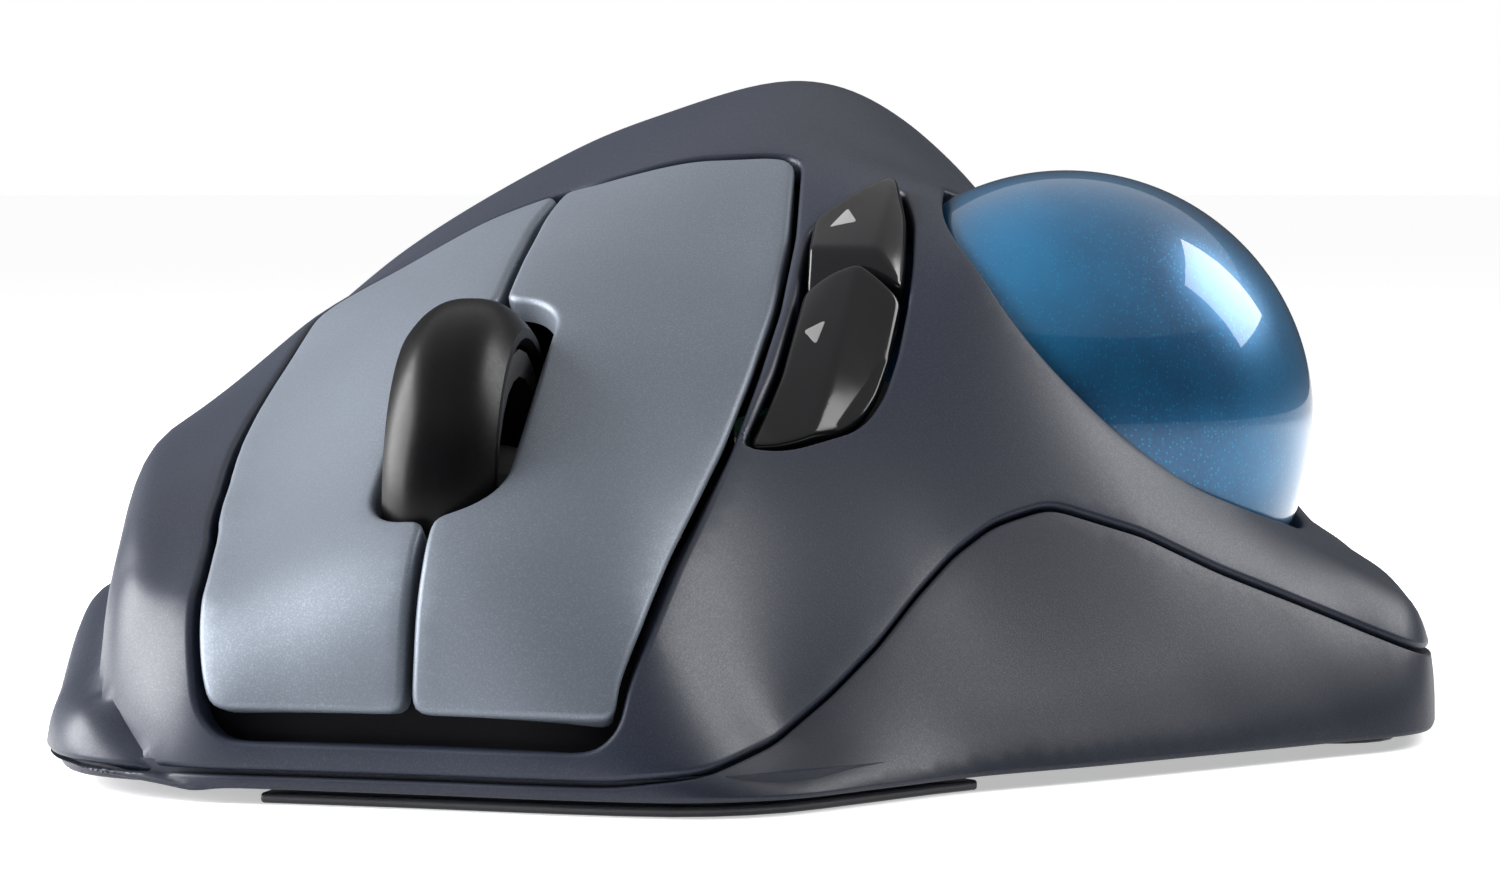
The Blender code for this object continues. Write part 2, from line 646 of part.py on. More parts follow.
def make_bottom_shell(surface, shell):
    """Add the base: floor, low wall, and the side panel below the thumb lobe."""
    mesh = combine(shell.copy(), seam_block(0.0), "INTERSECT")
    edge = [tuple(p) for p in surface.edge[::4]]
    for inset, low, high in ((WALL / 2, FLOOR_Z, RIM_TOP_Z), (WALL + 0.6, FLOOR_Z + 0.05, FLOOR_TOP_Z)):
        mesh = combine(mesh, prism(offset_outline(edge, -inset), low, high), "UNION")
    x_range, y_range = DOOR["x"], DOOR["y"]
    bay = rounded_rectangle((x_range[0] - SEAM_GAP, x_range[1] + SEAM_GAP),
                            (y_range[0] - SEAM_GAP, y_range[1] + SEAM_GAP), 1.6)
    x, y = POWER_SLOT["centre"]
    wide, deep = POWER_SLOT["size"]
    slot = rounded_rectangle((x - wide / 2, x + wide / 2), (y - deep / 2, y + deep / 2), 1.0)
    mesh = cut(mesh, eject_hole(), prism(bay, -2.0, 5.0), prism(slot, -2.0, 5.0))
    for place in SCREW_PLACES:
        mesh = cut(mesh, cylinder(1.35, -2.0, 5.0, place, 20), cylinder(2.3, -2.0, 1.7, place, 24))
    add_part("bottom_shell", largest_piece(mesh), "base")


def make_keys(shell):
    """Add the two keys, each with its origin on the hinge line at its rear edge."""
    both = combine(shell, keys_region(-GAP, KEY_FRONT_Z), "INTERSECT")
    half = KEY_SLOT_WIDTH / 2
    others = {
        "left_button": box((-60.0, -90.0, 0.0), (KEY_SLOT_X + half, 20.0, 60.0)),
        "right_button": box((KEY_SLOT_X - half, -90.0, 0.0), (60.0, 20.0, 60.0)),
    }
    for name, other_side in others.items():
        mesh = largest_piece(cut(both.copy(), other_side, wheel_opening(0.0)))
        moved(mesh, shift(0.0, -KEY_HINGE[1], -KEY_HINGE[2]))
        add_part(name, mesh, "key", (0.0, KEY_HINGE[1], KEY_HINGE[2]))


def make_side_buttons(surface):
    """Add the two glossy side buttons that share one pocket."""
    body = inside_mesh(surface, 0.0)
    under = inside_mesh(surface, SIDE_BUTTON_THICKNESS)
    plate = cut(combine(body, prism(offset_outline(POCKET_OUTLINE, -GAP), 5.0, 60.0),
                        "INTERSECT"), under)
    split = BUTTON_SPLIT
    rear = [(-5.0, -35.3), *split, (30.0, -34.6), (30.0, 0.0), (-5.0, 0.0)]
    front = [(-5.0, -70.0), (30.0, -70.0), (30.0, -34.6), *reversed(split), (-5.0, -35.3)]
    halves = {
        "back_button": [(x, y + 0.2) for x, y in rear],
        "forward_button": [(x, y - 0.2) for x, y in front],
    }
    for name, outline in halves.items():
        mesh = combine(plate.copy(), prism(outline, 0.0, 60.0), "INTERSECT")
        add_part(name, largest_piece(mesh), "gloss_black")


# ---------------------------------------------------------------- wheel

def make_wheel():
    """Add the scroll wheel, its hub and axle, the carrier and the encoder."""
    x, y, z = WHEEL_CENTRE
    half = WHEEL_WIDTH / 2
    crown = []
    for step in range(7):
        share = step / 3 - 1
        drop = 1.9 * abs(share) ** 2.6
        crown.append((WHEEL_RADIUS - drop, -share * half))
    tyre = turned(crown + [(9.6, -half), (9.6, half)], 40)
    hub = turned([(9.3, half - 0.4), (9.3, -half + 0.4), (7.6, -half + 0.4), (7.2, -1.2),
                  (3.4, -1.2), (3.0, -half), (1.3, -half), (1.3, half), (3.0, half),
                  (3.4, 1.2), (7.2, 1.2), (7.6, half - 0.4)], 24)
    axle = turned([(0.0, 7.6), (0.9, 7.6), (0.9, -6.6), (0.0, -6.6)], 16)
    for name, mesh, look in (("wheel_tyre", tyre, "rubber"), ("wheel_hub", hub, "inner"),
                             ("wheel_axle", axle, "steel")):
        moved(mesh, turn(90.0, "Y"))
        add_part(name, mesh, look, WHEEL_CENTRE)
    cheeks = box((x - 4.9, y - 2.0, 3.3), (x + 4.9, y + 13.2, 18.7))
    carrier = cut(cheeks, box((x - 4.1, y - 20.0, 4.5), (x + 4.1, y + 11.8, 40.0)),
                  box((x - 20.0, y + 5.0, 10.0), (x + 20.0, y + 20.0, 40.0)),
                  box((x - 3.8, y - 8.0, 2.0), (x + 3.8, y + 6.5, 5.4)),
                  moved(cylinder(1.25, -10.0, 10.0, (0, 0), 20),
                        shift(x, y, z) @ turn(90.0, "Y")))
    add_part("wheel_carrier", carrier, "inner", smooth=20.0)
    encoder = cut(box((x + 5.5, y - 2.6, 11.0), (x + 8.0, y + 4.5, 18.9), 0.4),
                  moved(cylinder(1.25, -20.0, 20.0, (0, 0), 20),
                        shift(x, y, z) @ turn(90.0, "Y")))
    add_part("wheel_encoder", encoder, "switch", smooth=20.0)


# ---------------------------------------------------------------- ball and its cup

def on_ball(distance, azimuth, elevation):
    """Return the point at a distance from the ball's centre in a direction."""
    flat = distance * math.cos(elevation)
    return (BALL_CENTRE[0] + flat * math.cos(azimuth), BALL_CENTRE[1] + flat * math.sin(azimuth),
            BALL_CENTRE[2] + distance * math.sin(elevation))


def make_ball(surface):
    """Add the ball, the cup it runs in and its three support balls."""
    add_part("trackball", ball(BALL_RADIUS, sides=36), "ball", BALL_CENTRE)
    cup = combine(ball(CUP_OUTER_RADIUS, BALL_CENTRE, 32), inside_mesh(surface, WALL + 0.5),
                  "INTERSECT")
    pockets = []
    for azimuth in BEARING_AZIMUTHS:
        place = on_ball(BALL_RADIUS + 0.15 + BEARING_RADIUS, math.radians(azimuth), BEARING_ANGLE)
        pockets.append(ball(BEARING_RADIUS + 0.3, place, 12))
        add_part(f"bearing_ball_{len(pockets)}", ball(BEARING_RADIUS, sides=12), "ceramic", place)
    window = moved(cylinder(3.0, 15.0, 25.0, (0, 0), 24), sensor_frame())
    cup = cut(cup, ball(CUP_INNER_RADIUS, BALL_CENTRE, 32), eject_hole(), window,
              box((-60.0, -60.0, 24.0), (60.0, 60.0, 60.0)),
              box((-60.0, -60.0, -10.0), (60.0, 60.0, FLOOR_TOP_Z + 0.4)), *pockets)
    add_part("ball_socket", largest_piece(cup), "inner")


def sensor_frame():
    """Return the frame whose Z runs from the ball's centre out through the sensor."""
    return shift(*BALL_CENTRE) @ Matrix.Rotation(-math.pi / 2 - SENSOR_TILT, 4, "Y")


def make_sensor():
    """Add the lens, chip and small board that watch the ball."""
    frame = sensor_frame()
    lens = turned([(0.0, 20.6), (2.6, 20.6), (2.6, 19.2), (1.9, 18.4), (0.0, 18.3)], 24)
    add_part("sensor_lens", moved(lens, frame), "clear")
    add_part("sensor_chip", moved(box((-4.0, -4.0, 20.9), (4.0, 4.0, 22.7), 0.2), frame), "chip",
             smooth=20.0)
    add_part("sensor_board", moved(box((-5.5, -7.0, 23.0), (5.5, 7.0, 24.0)), frame), "board",
             smooth=20.0)


# ---------------------------------------------------------------- electronics

def make_boards():
    """Add the two flat boards, the upright side board, the chip and the switches."""
    main = box((-38.0, -27.0, 5.0), (6.0, -12.6, 6.2))
    add_part("main_board", main, "board", smooth=20.0)
    add_part("control_chip", box((-32.0, -24.0, 6.5), (-24.0, -16.0, 7.7), 0.2), "chip",
             smooth=20.0)
    front = prism([(-27.4, -59.5), (-20.6, -59.5), (-20.6, -36.0), (-2.6, -36.0), (-2.6, -59.5),
                   (3.0, -59.5), (3.0, -28.0), (-27.4, -28.0)], 5.0, 6.2)
    add_part("front_board", front, "board", smooth=20.0)
    add_part("side_board", box((3.0, -42.0, 9.0), (4.0, -26.0, 22.0)), "board", smooth=20.0)
    switches = {
        "switch_right": ((-27.0, -58.0, 6.5), (-21.2, -46.0, 11.4)),
        "switch_left": ((-2.2, -58.0, 6.5), (2.8, -46.0, 11.4)),
        "switch_middle": ((-15.6, -35.4, 6.5), (-9.6, -29.4, 9.6)),
        "switch_forward": ((4.3, -41.0, 14.0), (7.3, -36.0, 19.0)),
        "switch_back": ((4.3, -33.0, 14.0), (6.3, -28.0, 19.0)),
    }
    for name, (low, high) in switches.items():
        add_part(name, box(low, high, 0.3), "switch", smooth=20.0)


def make_battery():
    """Add the battery, its two contacts, the receiver and the door below them."""
    x, y, z = BATTERY_CENTRE
    half = BATTERY_LENGTH / 2
    cell = turned([(0.0, half), (2.6, half), (2.6, half - 1.4), (BATTERY_RADIUS - 0.5, half - 1.4),
                   (BATTERY_RADIUS, half - 2.0), (BATTERY_RADIUS, -half + 0.5),
                   (BATTERY_RADIUS - 0.5, -half), (0.0, -half)], 28)
    add_part("battery", moved(cell, turn(90.0, "X")), "battery", BATTERY_CENTRE)
    add_part("contact_plate", box((x - 5.0, y - half - 1.2, 3.4), (x + 5.0, y - half - 0.4, 15.0)),
             "steel", smooth=20.0)
    add_part("contact_spring", spring_mesh(), "steel", (x, y + half + 0.4, z))
    add_part("receiver", box((x - 9.3, -10.6, 3.1), (x + 9.3, 2.9, 8.5), 0.6), "inner", smooth=20.0)
    (x0, x1), (y0, y1), (z0, z1) = DOOR["x"], DOOR["y"], DOOR["z"]
    door = prism(rounded_rectangle((x0, x1), (y0, y1), 1.4), z0, z1)
    finger = prism(rounded_rectangle((x - 4.0, x + 4.0), (y1 - 6.0, y1 - 3.0), 1.2), z0 - 1.0,
                   z0 + 0.6)
    door = cut(door, finger)
    moved(door, shift(0.0, -y0, -z0))
    add_part("battery_door", door, "base", (0.0, y0, z0), smooth=20.0)


def spring_mesh():
    """Return the coil that presses on the battery's flat end, along +Y from its origin."""
    curve = bpy.data.curves.new("coil", "CURVE")
    curve.dimensions = "3D"
    curve.bevel_depth = 0.35 * MM
    curve.bevel_resolution = 1
    curve.use_fill_caps = True
    turns, steps, length = 2.5, 14, 3.4
    count = int(turns * steps) + 1
    spline = curve.splines.new("POLY")
    spline.points.add(count - 1)
    for i, point in enumerate(spline.points):
        share = i / (count - 1)
        angle = 2 * math.pi * turns * share
        radius = 2.4 + 1.6 * share
        place = (radius * math.cos(angle), 0.4 + length * share, radius * math.sin(angle))
        point.co = (*(Vector(place) * MM), 1.0)
    item = bpy.data.objects.new("coil", curve)
    bpy.data.collections[CUTTERS].objects.link(item)
    mesh = evaluated_mesh(item)
    bpy.data.objects.remove(item, do_unlink=True)
    return tidy(mesh)


def make_power_switch():
    """Add the slide switch in the floor and its knob."""
    x, y = POWER_SLOT["centre"]
    add_part("power_switch_body", box((x - 6.0, y - 3.4, 3.4), (x + 6.0, y + 3.4, 7.0), 0.3),
             "switch", smooth=20.0)
    knob = prism(rounded_rectangle((-2.2, 2.2), (-2.1, 2.1), 0.7), 0.0, 2.0)
    add_part("power_switch_knob", knob, "gloss_black", (x - 2.0, y, 1.1), smooth=20.0)


# ---------------------------------------------------------------- edge strip and feet

def edge_strip(surface, start, end, outer, inner):
    """Return a plan outline that follows the body's edge between two shares of its length."""
    edge = [tuple(p) for p in surface.edge]
    outside = offset_outline(edge, -outer)
    inside = offset_outline(edge, -inner)
    count = len(edge)
    picks = [i % count for i in range(int(start * count), int(end * count) + 1, 4)]
    return [outside[i] for i in picks] + [inside[i] for i in reversed(picks)]


def make_feet(surface):
    """Add the glide feet."""
    front = edge_strip(surface, 0.955 - 1.0, 0.165, 1.2, 5.4)
    add_part("foot_front", prism(front, 0.0, FOOT_TOP_Z), "rubber", smooth=20.0)
    pads = {
        "foot_thumb": (37.0, -23.0, 8.0, 4.4),
        "foot_rear_thumb": (24.0, 44.0, 5.0, 8.0),
        "foot_rear_pinky": (-33.0, 48.0, 5.0, 8.0),
        "foot_pinky": (-40.0, -4.0, 4.0, 10.0),
    }
    for name, (x, y, wide, long) in pads.items():
        outline = rounded_rectangle((x - wide, x + wide), (y - long, y + long), min(wide, long))
        add_part(name, prism(outline, 0.0, FOOT_TOP_Z), "rubber", smooth=20.0)


def make_screws():
    """Add the screws that hold the two shells together."""
    for number, (x, y) in enumerate(SCREW_PLACES, start=1):
        top = 1.3 + SCREW_LENGTH
        screw = turned([(0.0, top), (0.7, top), (1.0, top - 0.6), (1.0, 1.35), (2.0, 1.35),
                        (2.0, 1.1), (1.6, 0.75), (0.0, 0.75)], 16)
        add_part(f"screw_{number}", moved(screw, shift(x, y, 0.0)), "steel")


def main():
    """Build the mouse."""
    clear_scene()
    make_collection(COLLECTION)
    make_collection(CUTTERS)
    surface = Surface()
    shell = shell_mesh(surface)
    make_top_shell(surface, shell)
    make_bottom_shell(surface, shell)
    make_keys(shell.copy())
    make_side_buttons(surface)
    make_wheel()
    make_ball(surface)
    make_sensor()
    make_boards()
    make_battery()
    make_power_switch()
    make_feet(surface)
    make_screws()


main()
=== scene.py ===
"""The finished look of a thumb-operated trackball mouse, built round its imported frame.

Sizes below are in millimetres; MM turns them into metres. The frame's origin is on the desk below
the middle of the mouse: +Y runs from the front lip to the palm, +Z is up and +X is the thumb side.
"""
import logging
import math
from dataclasses import dataclass, field
from enum import Enum
from typing import Callable, Sequence

import bmesh
import bpy
import numpy as np
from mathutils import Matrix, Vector
from mathutils.geometry import delaunay_2d_cdt
from mathutils.kdtree import KDTree

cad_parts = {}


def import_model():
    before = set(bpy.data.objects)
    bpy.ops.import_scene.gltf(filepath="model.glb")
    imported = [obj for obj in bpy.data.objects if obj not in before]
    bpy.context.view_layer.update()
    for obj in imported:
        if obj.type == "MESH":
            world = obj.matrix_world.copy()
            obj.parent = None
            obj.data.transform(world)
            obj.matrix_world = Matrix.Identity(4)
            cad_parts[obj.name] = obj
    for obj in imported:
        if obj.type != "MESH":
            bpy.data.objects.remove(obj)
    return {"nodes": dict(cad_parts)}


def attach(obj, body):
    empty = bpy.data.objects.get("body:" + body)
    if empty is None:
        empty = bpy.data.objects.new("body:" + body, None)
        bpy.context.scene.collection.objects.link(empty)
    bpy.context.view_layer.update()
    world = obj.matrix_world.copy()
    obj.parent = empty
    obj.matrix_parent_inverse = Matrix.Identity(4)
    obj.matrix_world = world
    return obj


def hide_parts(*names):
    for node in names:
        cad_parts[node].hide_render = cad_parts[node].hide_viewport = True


LOG = logging.getLogger("trackball_mouse")
MM = 0.001
FRAME_NODES: dict[str, bpy.types.Object] = {}

# Sizes shared by several pieces
UNDERSIDE_Z = 0.95            # lowest face of the bottom shell
WALL = 1.7                    # thickness of the shells and keys
GAP = 0.45                    # gap round a moving cover
SEAM_GAP = 0.3
LIP_Z = 3.8                   # top edge of the front lip
KEY_FRONT_Z = 5.7             # lower edge of the keys' front face
KEY_SLOT_X = -12.6
KEY_SLOT_WIDTH = 0.5
BALL_CENTRE = (22.3, -16.5, 21.0)
BALL_RADIUS = 17.0
COLLAR_RADIUS = 17.8
WHEEL_CENTRE = (-12.6, -50.0, 17.4)
WHEEL_RADIUS = 12.5
WHEEL_WIDTH = 7.0

# Plan outline of the body, anticlockwise from the front
OUTLINE = [
    (-11.7, -70.6), (-3.7, -72.0), (4.3, -72.4), (10.3, -69.6), (15.3, -63.5), (20.3, -57.0),
    (27.3, -50.3), (34.3, -43.0), (41.3, -35.5), (46.4, -29.8), (47.6, -24.0), (47.0, -15.0),
    (44.1, -3.0), (39.8, 12.0), (36.8, 28.0), (31.3, 46.0), (21.3, 61.0), (6.3, 70.4),
    (-9.7, 72.4), (-24.7, 68.0), (-36.7, 55.0), (-43.7, 38.0), (-47.0, 20.0), (-47.3, 0.0),
    (-45.3, -18.0), (-42.5, -36.0), (-39.7, -50.0), (-37.7, -59.0), (-34.2, -65.0),
    (-27.7, -68.2), (-19.7, -69.4),
]

# Points that the upper surface runs through, by feature: (x, y, z)
SURFACE_LINES = {
    "slot_between_keys": [
        (-12.6, -73.0, 10.6), (-12.6, -68.0, 14.2), (-12.6, -63.5, 17.1), (-12.6, -55.0, 22.0),
        (-12.6, -48.0, 25.9), (-12.6, -40.3, 29.5), (-12.6, -33.2, 31.9), (-12.6, -25.1, 34.3),
        (-12.6, -16.2, 36.8), (-12.6, -5.0, 39.3)],
    "thumb_side_of_keys": [
        (0.5, -70.0, 8.6), (1.5, -67.0, 10.9), (2.5, -62.0, 14.0), (3.5, -55.0, 17.9),
        (4.0, -50.0, 20.6), (5.2, -36.0, 28.9), (5.0, -27.0, 33.7), (4.1, -16.0, 39.2)],
    "pinky_side_of_keys": [
        (-25.7, -69.0, 8.5), (-26.7, -66.0, 10.6), (-27.4, -62.0, 12.8), (-27.9, -57.0, 15.0),
        (-28.9, -50.0, 17.8), (-29.4, -42.0, 21.2), (-29.3, -34.0, 24.0), (-29.1, -22.0, 27.9)],
    "rear_of_keys": [(-3.0, -17.0, 38.9), (-17.9, -18.0, 34.5), (-23.5, -20.0, 31.2)],
    "seam": [
        (8.6, -64.0, 4.6), (11.6, -60.0, 6.6), (14.0, -56.0, 9.0), (15.9, -52.0, 11.5),
        (17.8, -48.0, 13.8), (20.0, -45.0, 15.5), (23.3, -42.0, 16.5), (29.1, -39.0, 14.5),
        (33.8, -36.0, 12.0), (38.5, -33.0, 9.9), (43.3, -30.0, 7.7)],
    "thumb_base": [
        (13.3, -65.5, 1.6), (19.3, -58.5, 1.6), (27.3, -50.8, 1.8), (34.3, -43.4, 2.2),
        (41.3, -36.0, 3.2)],
    "collar": [
        (14.2, -20.0, 36.6), (18.2, -30.5, 31.0), (21.7, -33.6, 26.3), (23.8, -34.2, 24.0),
        (27.4, -33.8, 20.6), (32.0, -31.2, 17.2), (37.6, -26.0, 14.0)],
    "lobe": [
        (40.3, -21.0, 12.4), (42.3, -27.0, 11.0), (45.8, -25.0, 9.4), (46.8, -20.0, 8.6),
        (45.3, -10.0, 9.5), (41.3, -5.0, 11.5), (42.3, 3.0, 10.5)],
    "hump": [
        (-28.2, 0.0, 31.6), (-22.2, 10.0, 36.1), (-14.6, 8.0, 40.3), (-6.7, 7.0, 43.0),
        (1.0, 6.0, 44.6), (5.2, 2.0, 43.7), (9.0, 0.0, 41.2), (12.6, -6.0, 38.2),
        (12.7, 0.0, 37.9), (10.3, -12.0, 38.4)],
    "behind_ball": [
        (9.7, 5.0, 41.0), (13.5, 5.0, 37.4), (16.3, 5.0, 34.0), (21.3, 6.0, 28.5),
        (27.3, 7.0, 22.0), (33.3, 7.0, 16.5), (39.3, 6.0, 12.0)],
    "palm": [
        (-2.7, 18.0, 43.6), (-3.7, 32.0, 40.0), (-4.7, 46.0, 33.0), (-4.7, 60.0, 22.5),
        (-3.7, 70.0, 12.0), (-10.7, 18.0, 41.6), (-20.7, 18.0, 37.5), (-29.7, 14.0, 31.0),
        (-20.7, 36.0, 34.0), (-20.7, 52.0, 25.0), (-20.7, 66.0, 12.0), (5.3, 18.0, 41.4),
        (11.3, 18.0, 36.4), (18.3, 18.0, 30.5), (15.3, 34.0, 31.0), (13.3, 50.0, 24.5),
        (11.3, 64.0, 13.0), (27.3, 18.0, 22.5), (27.3, 32.0, 20.5), (25.3, 46.0, 17.0),
        (35.3, 16.0, 15.5), (34.3, 30.0, 14.0), (30.3, 44.0, 11.0)],
    "pinky_rest": [
        (-31.7, -64.0, 10.6), (-33.7, -59.0, 13.6), (-34.7, -55.0, 15.4), (-34.4, -50.0, 17.2),
        (-34.7, -44.0, 18.9), (-34.7, -38.0, 20.4), (-35.0, -30.0, 21.8), (-35.7, -20.0, 22.6),
        (-37.2, -8.0, 22.8), (-38.7, 4.0, 23.0), (-39.2, 18.0, 22.5), (-38.2, 34.0, 20.0),
        (-34.7, 50.0, 14.0), (-27.7, 62.0, 8.5)],
}
SURFACE_SMOOTHING = 1.0

# The two keys' shared outer outline, from the thumb-side front corner round the rear
KEYS_OUTLINE = [
    (0.7, -70.4), (1.7, -67.2), (2.5, -62.0), (3.5, -55.0), (4.1, -50.0), (4.8, -43.0),
    (5.2, -36.0), (5.0, -27.0), (4.2, -17.6), (3.0, -16.4), (-3.0, -16.9), (-12.6, -17.1),
    (-18.2, -17.8), (-23.6, -19.7), (-28.2, -22.0), (-29.2, -23.6), (-29.4, -34.0),
    (-29.4, -42.0), (-28.9, -50.0), (-27.9, -57.0), (-27.3, -62.0), (-26.8, -66.0),
]
WHEEL_OPENING = {"x": (-16.7, -8.4), "y": (-63.4, -40.1), "corner": 3.9}

# The pocket of the two side buttons, anticlockwise from its front corner, and the line between them
POCKET_OUTLINE = [
    (4.6, -49.4), (8.3, -46.9), (10.9, -44.6), (11.9, -43.2), (12.7, -41.2), (13.2, -38.3),
    (13.4, -34.6), (13.3, -30.9), (12.9, -26.6), (11.6, -21.6), (10.6, -21.1), (5.9, -26.6),
    (6.1, -34.6), (5.7, -42.0),
]
BUTTON_SPLIT = [(5.0, -35.3), (8.1, -33.1), (10.1, -32.4), (14.5, -34.6)]

# Height of the seam between the shells across the front of the thumb flank: (x, z)
SEAM_PROFILE = [
    (-60.0, 1.7), (0.0, 1.8), (5.6, 2.5), (8.6, 3.7), (11.6, 6.2), (14.0, 8.8), (15.9, 11.5),
    (17.8, 13.8), (20.0, 15.5), (23.3, 16.5), (29.1, 14.5), (33.8, 12.0), (38.5, 9.9),
    (43.3, 7.7), (48.3, 5.4), (60.0, 5.2),
]
SEAM_FRONT_ENDS_Y = -24.0
SEAM_SIDE_STARTS_Y = -12.0
SEAM_REAR_Z = 2.4

DOOR = {"x": (-22.4, -2.8), "y": (-11.6, 59.0)}
POWER_SLOT = {"centre": (17.0, 28.0), "size": (9.0, 5.0)}
EJECT_HOLE_RADIUS = 6.0
SCREW_PLACES = [(-31.0, -40.0), (9.5, -52.0), (-36.5, 28.0), (18.0, 54.0), (36.0, 12.0)]

# Sockets of a Mix node that is set to colours
MIX_SHARE, COLOUR_A, COLOUR_B = 0, 6, 7
MIXED_COLOUR = 2

Array = np.ndarray
Point = Sequence[float]
Colour = tuple[float, float, float]


# ---------------------------------------------------------------- shader graph

class Wire:
    """A shader socket; expressions on it add Math nodes."""

    def __init__(self, graph: "Graph", socket: bpy.types.NodeSocket) -> None:
        """Wrap one output socket of a graph."""
        self.graph = graph
        self.socket = socket

    def math(self, operation: str, first: object, second: object) -> "Wire":
        """Add a Math node.

        Args:
            operation: The Math node's operation.
            first: A wire or a number.
            second: A wire or a number.

        Returns:
            The node's value.
        """
        settings = {"operation": operation}
        return self.graph.add("ShaderNodeMath", settings, {0: first, 1: second})

    def __add__(self, other: object) -> "Wire":
        """Return the sum."""
        return self.math("ADD", self, other)

    def __sub__(self, other: object) -> "Wire":
        """Return the difference."""
        return self.math("SUBTRACT", self, other)

    def __rsub__(self, other: object) -> "Wire":
        """Return a number less this wire."""
        return self.math("SUBTRACT", other, self)

    def __mul__(self, other: object) -> "Wire":
        """Return the product."""
        return self.math("MULTIPLY", self, other)

    def __gt__(self, other: object) -> "Wire":
        """Return 1 where this wire is above a limit, else 0."""
        return self.math("GREATER_THAN", self, other)

    __radd__ = __add__
    __rmul__ = __mul__


class Graph:
    """The node tree of one material."""

    def __init__(self, name: str) -> None:
        """Start a material that holds a Principled shader and an output."""
        self.material = bpy.data.materials.new(name)
        self.material.use_nodes = True
        self.tree = self.material.node_tree
        self.shader = self.tree.nodes["Principled BSDF"]

    def add(self, kind: str, settings: dict, values: dict, output: object = 0) -> Wire:
        """Add a node.

        Args:
            kind: The node's type.
            settings: Its properties, set before its sockets.
            values: Numbers, colours or wires by socket name or number.
            output: Name or number of the socket to return.

        Returns:
            The wire of that output.
        """
        node = self.tree.nodes.new(kind)
        for key, value in settings.items():
            setattr(node, key, value)
        for key, value in values.items():
            self.connect(node.inputs[key], value)
        return Wire(self, node.outputs[output])

    def connect(self, socket: bpy.types.NodeSocket, value: object) -> None:
        """Link a wire to a socket, or set the socket's own value."""
        if isinstance(value, Wire):
            self.tree.links.new(value.socket, socket)
        else:
            socket.default_value = value

    def place(self) -> Wire:
        """Return the object coordinates."""
        return self.add("ShaderNodeTexCoord", {}, {}, "Object")

    def noise(self, size: float, detail: float = 2.0, place: Wire | None = None) -> Wire:
        """Return noise whose features are about a size in millimetres across."""
        values = {"Vector": place or self.place(), "Scale": 1.0 / (size * MM), "Detail": detail}
        return self.add("ShaderNodeTexNoise", {}, values, "Fac")

    def cells(self, size: float, output: str = "Color") -> Wire:
        """Return cells about a size in millimetres across, each with its own value."""
        values = {"Vector": self.place(), "Scale": 1.0 / (size * MM)}
        return self.add("ShaderNodeTexVoronoi", {}, values, output)

    def remap(self, value: Wire, low: float, high: float, to: tuple[float, float]) -> Wire:
        """Return a value stretched from one range to another, and held inside it."""
        values = {"Value": value, "From Min": low, "From Max": high,
                  "To Min": to[0], "To Max": to[1]}
        return self.add("ShaderNodeMapRange", {"clamp": True}, values)

    def blend(self, share: object, first: object, second: object) -> Wire:
        """Return a colour between two colours."""
        node = self.tree.nodes.new("ShaderNodeMix")
        node.data_type = "RGBA"
        for index, value in ((MIX_SHARE, share), (COLOUR_A, first), (COLOUR_B, second)):
            if isinstance(value, tuple) and len(value) == 3:
                value = (*value, 1.0)
            self.connect(node.inputs[index], value)
        return Wire(self, node.outputs[MIXED_COLOUR])

    def split(self, colour: Wire, part: str = "Red") -> Wire:
        """Return one part of a colour."""
        return self.add("ShaderNodeSeparateColor", {}, {"Color": colour}, part)

    def axis(self, name: str) -> Wire:
        """Return one of the object coordinates."""
        return self.add("ShaderNodeSeparateXYZ", {}, {"Vector": self.place()}, name)

    def bump(self, height: Wire, depth: float, strength: float = 1.0) -> None:
        """Let a height shape the normal, with a full depth in millimetres."""
        values = {"Height": height, "Distance": depth * MM, "Strength": strength}
        self.shade({"Normal": self.add("ShaderNodeBump", {}, values, "Normal")})

    def shade(self, values: dict) -> bpy.types.Material:
        """Set the shader's sockets and return the material."""
        for key, value in values.items():
            if isinstance(value, tuple) and len(value) == 3:
                value = (*value, 1.0)
            self.connect(self.shader.inputs[key], value)
        return self.material


# ---------------------------------------------------------------- finishes

@dataclass(frozen=True)
class SpeckledPlastic:
    """Satin moulded plastic with fine flecks of a lighter pigment in it."""

    name: str
    colour: Colour
    fleck: Colour
    roughness: float
    metallic: float
    sparkle: float = 0.5
    grain: float = 0.11
    gloss: float = 0.30

    def build(self) -> bpy.types.Material:
        """Return the material."""
        graph = Graph(self.name)
        fine = graph.noise(self.grain, 3.0)
        cloud = graph.noise(9.0, 2.0)
        flecks = graph.remap(fine, 0.50, 0.68, (0.0, self.sparkle))
        tone = graph.blend(flecks, self.colour, self.fleck)
        low = tuple(channel * 0.94 for channel in self.colour)
        tone = graph.blend(graph.remap(cloud, 0.35, 0.65, (0.0, 0.35)), tone, low)
        rough = graph.remap(fine, 0.35, 0.7, (self.roughness + 0.05, self.roughness - 0.05))
        graph.bump(fine, 0.012, 0.55)
        return graph.shade({"Base Color": tone, "Roughness": rough, "Metallic": self.metallic,
                            "Specular IOR Level": self.gloss})


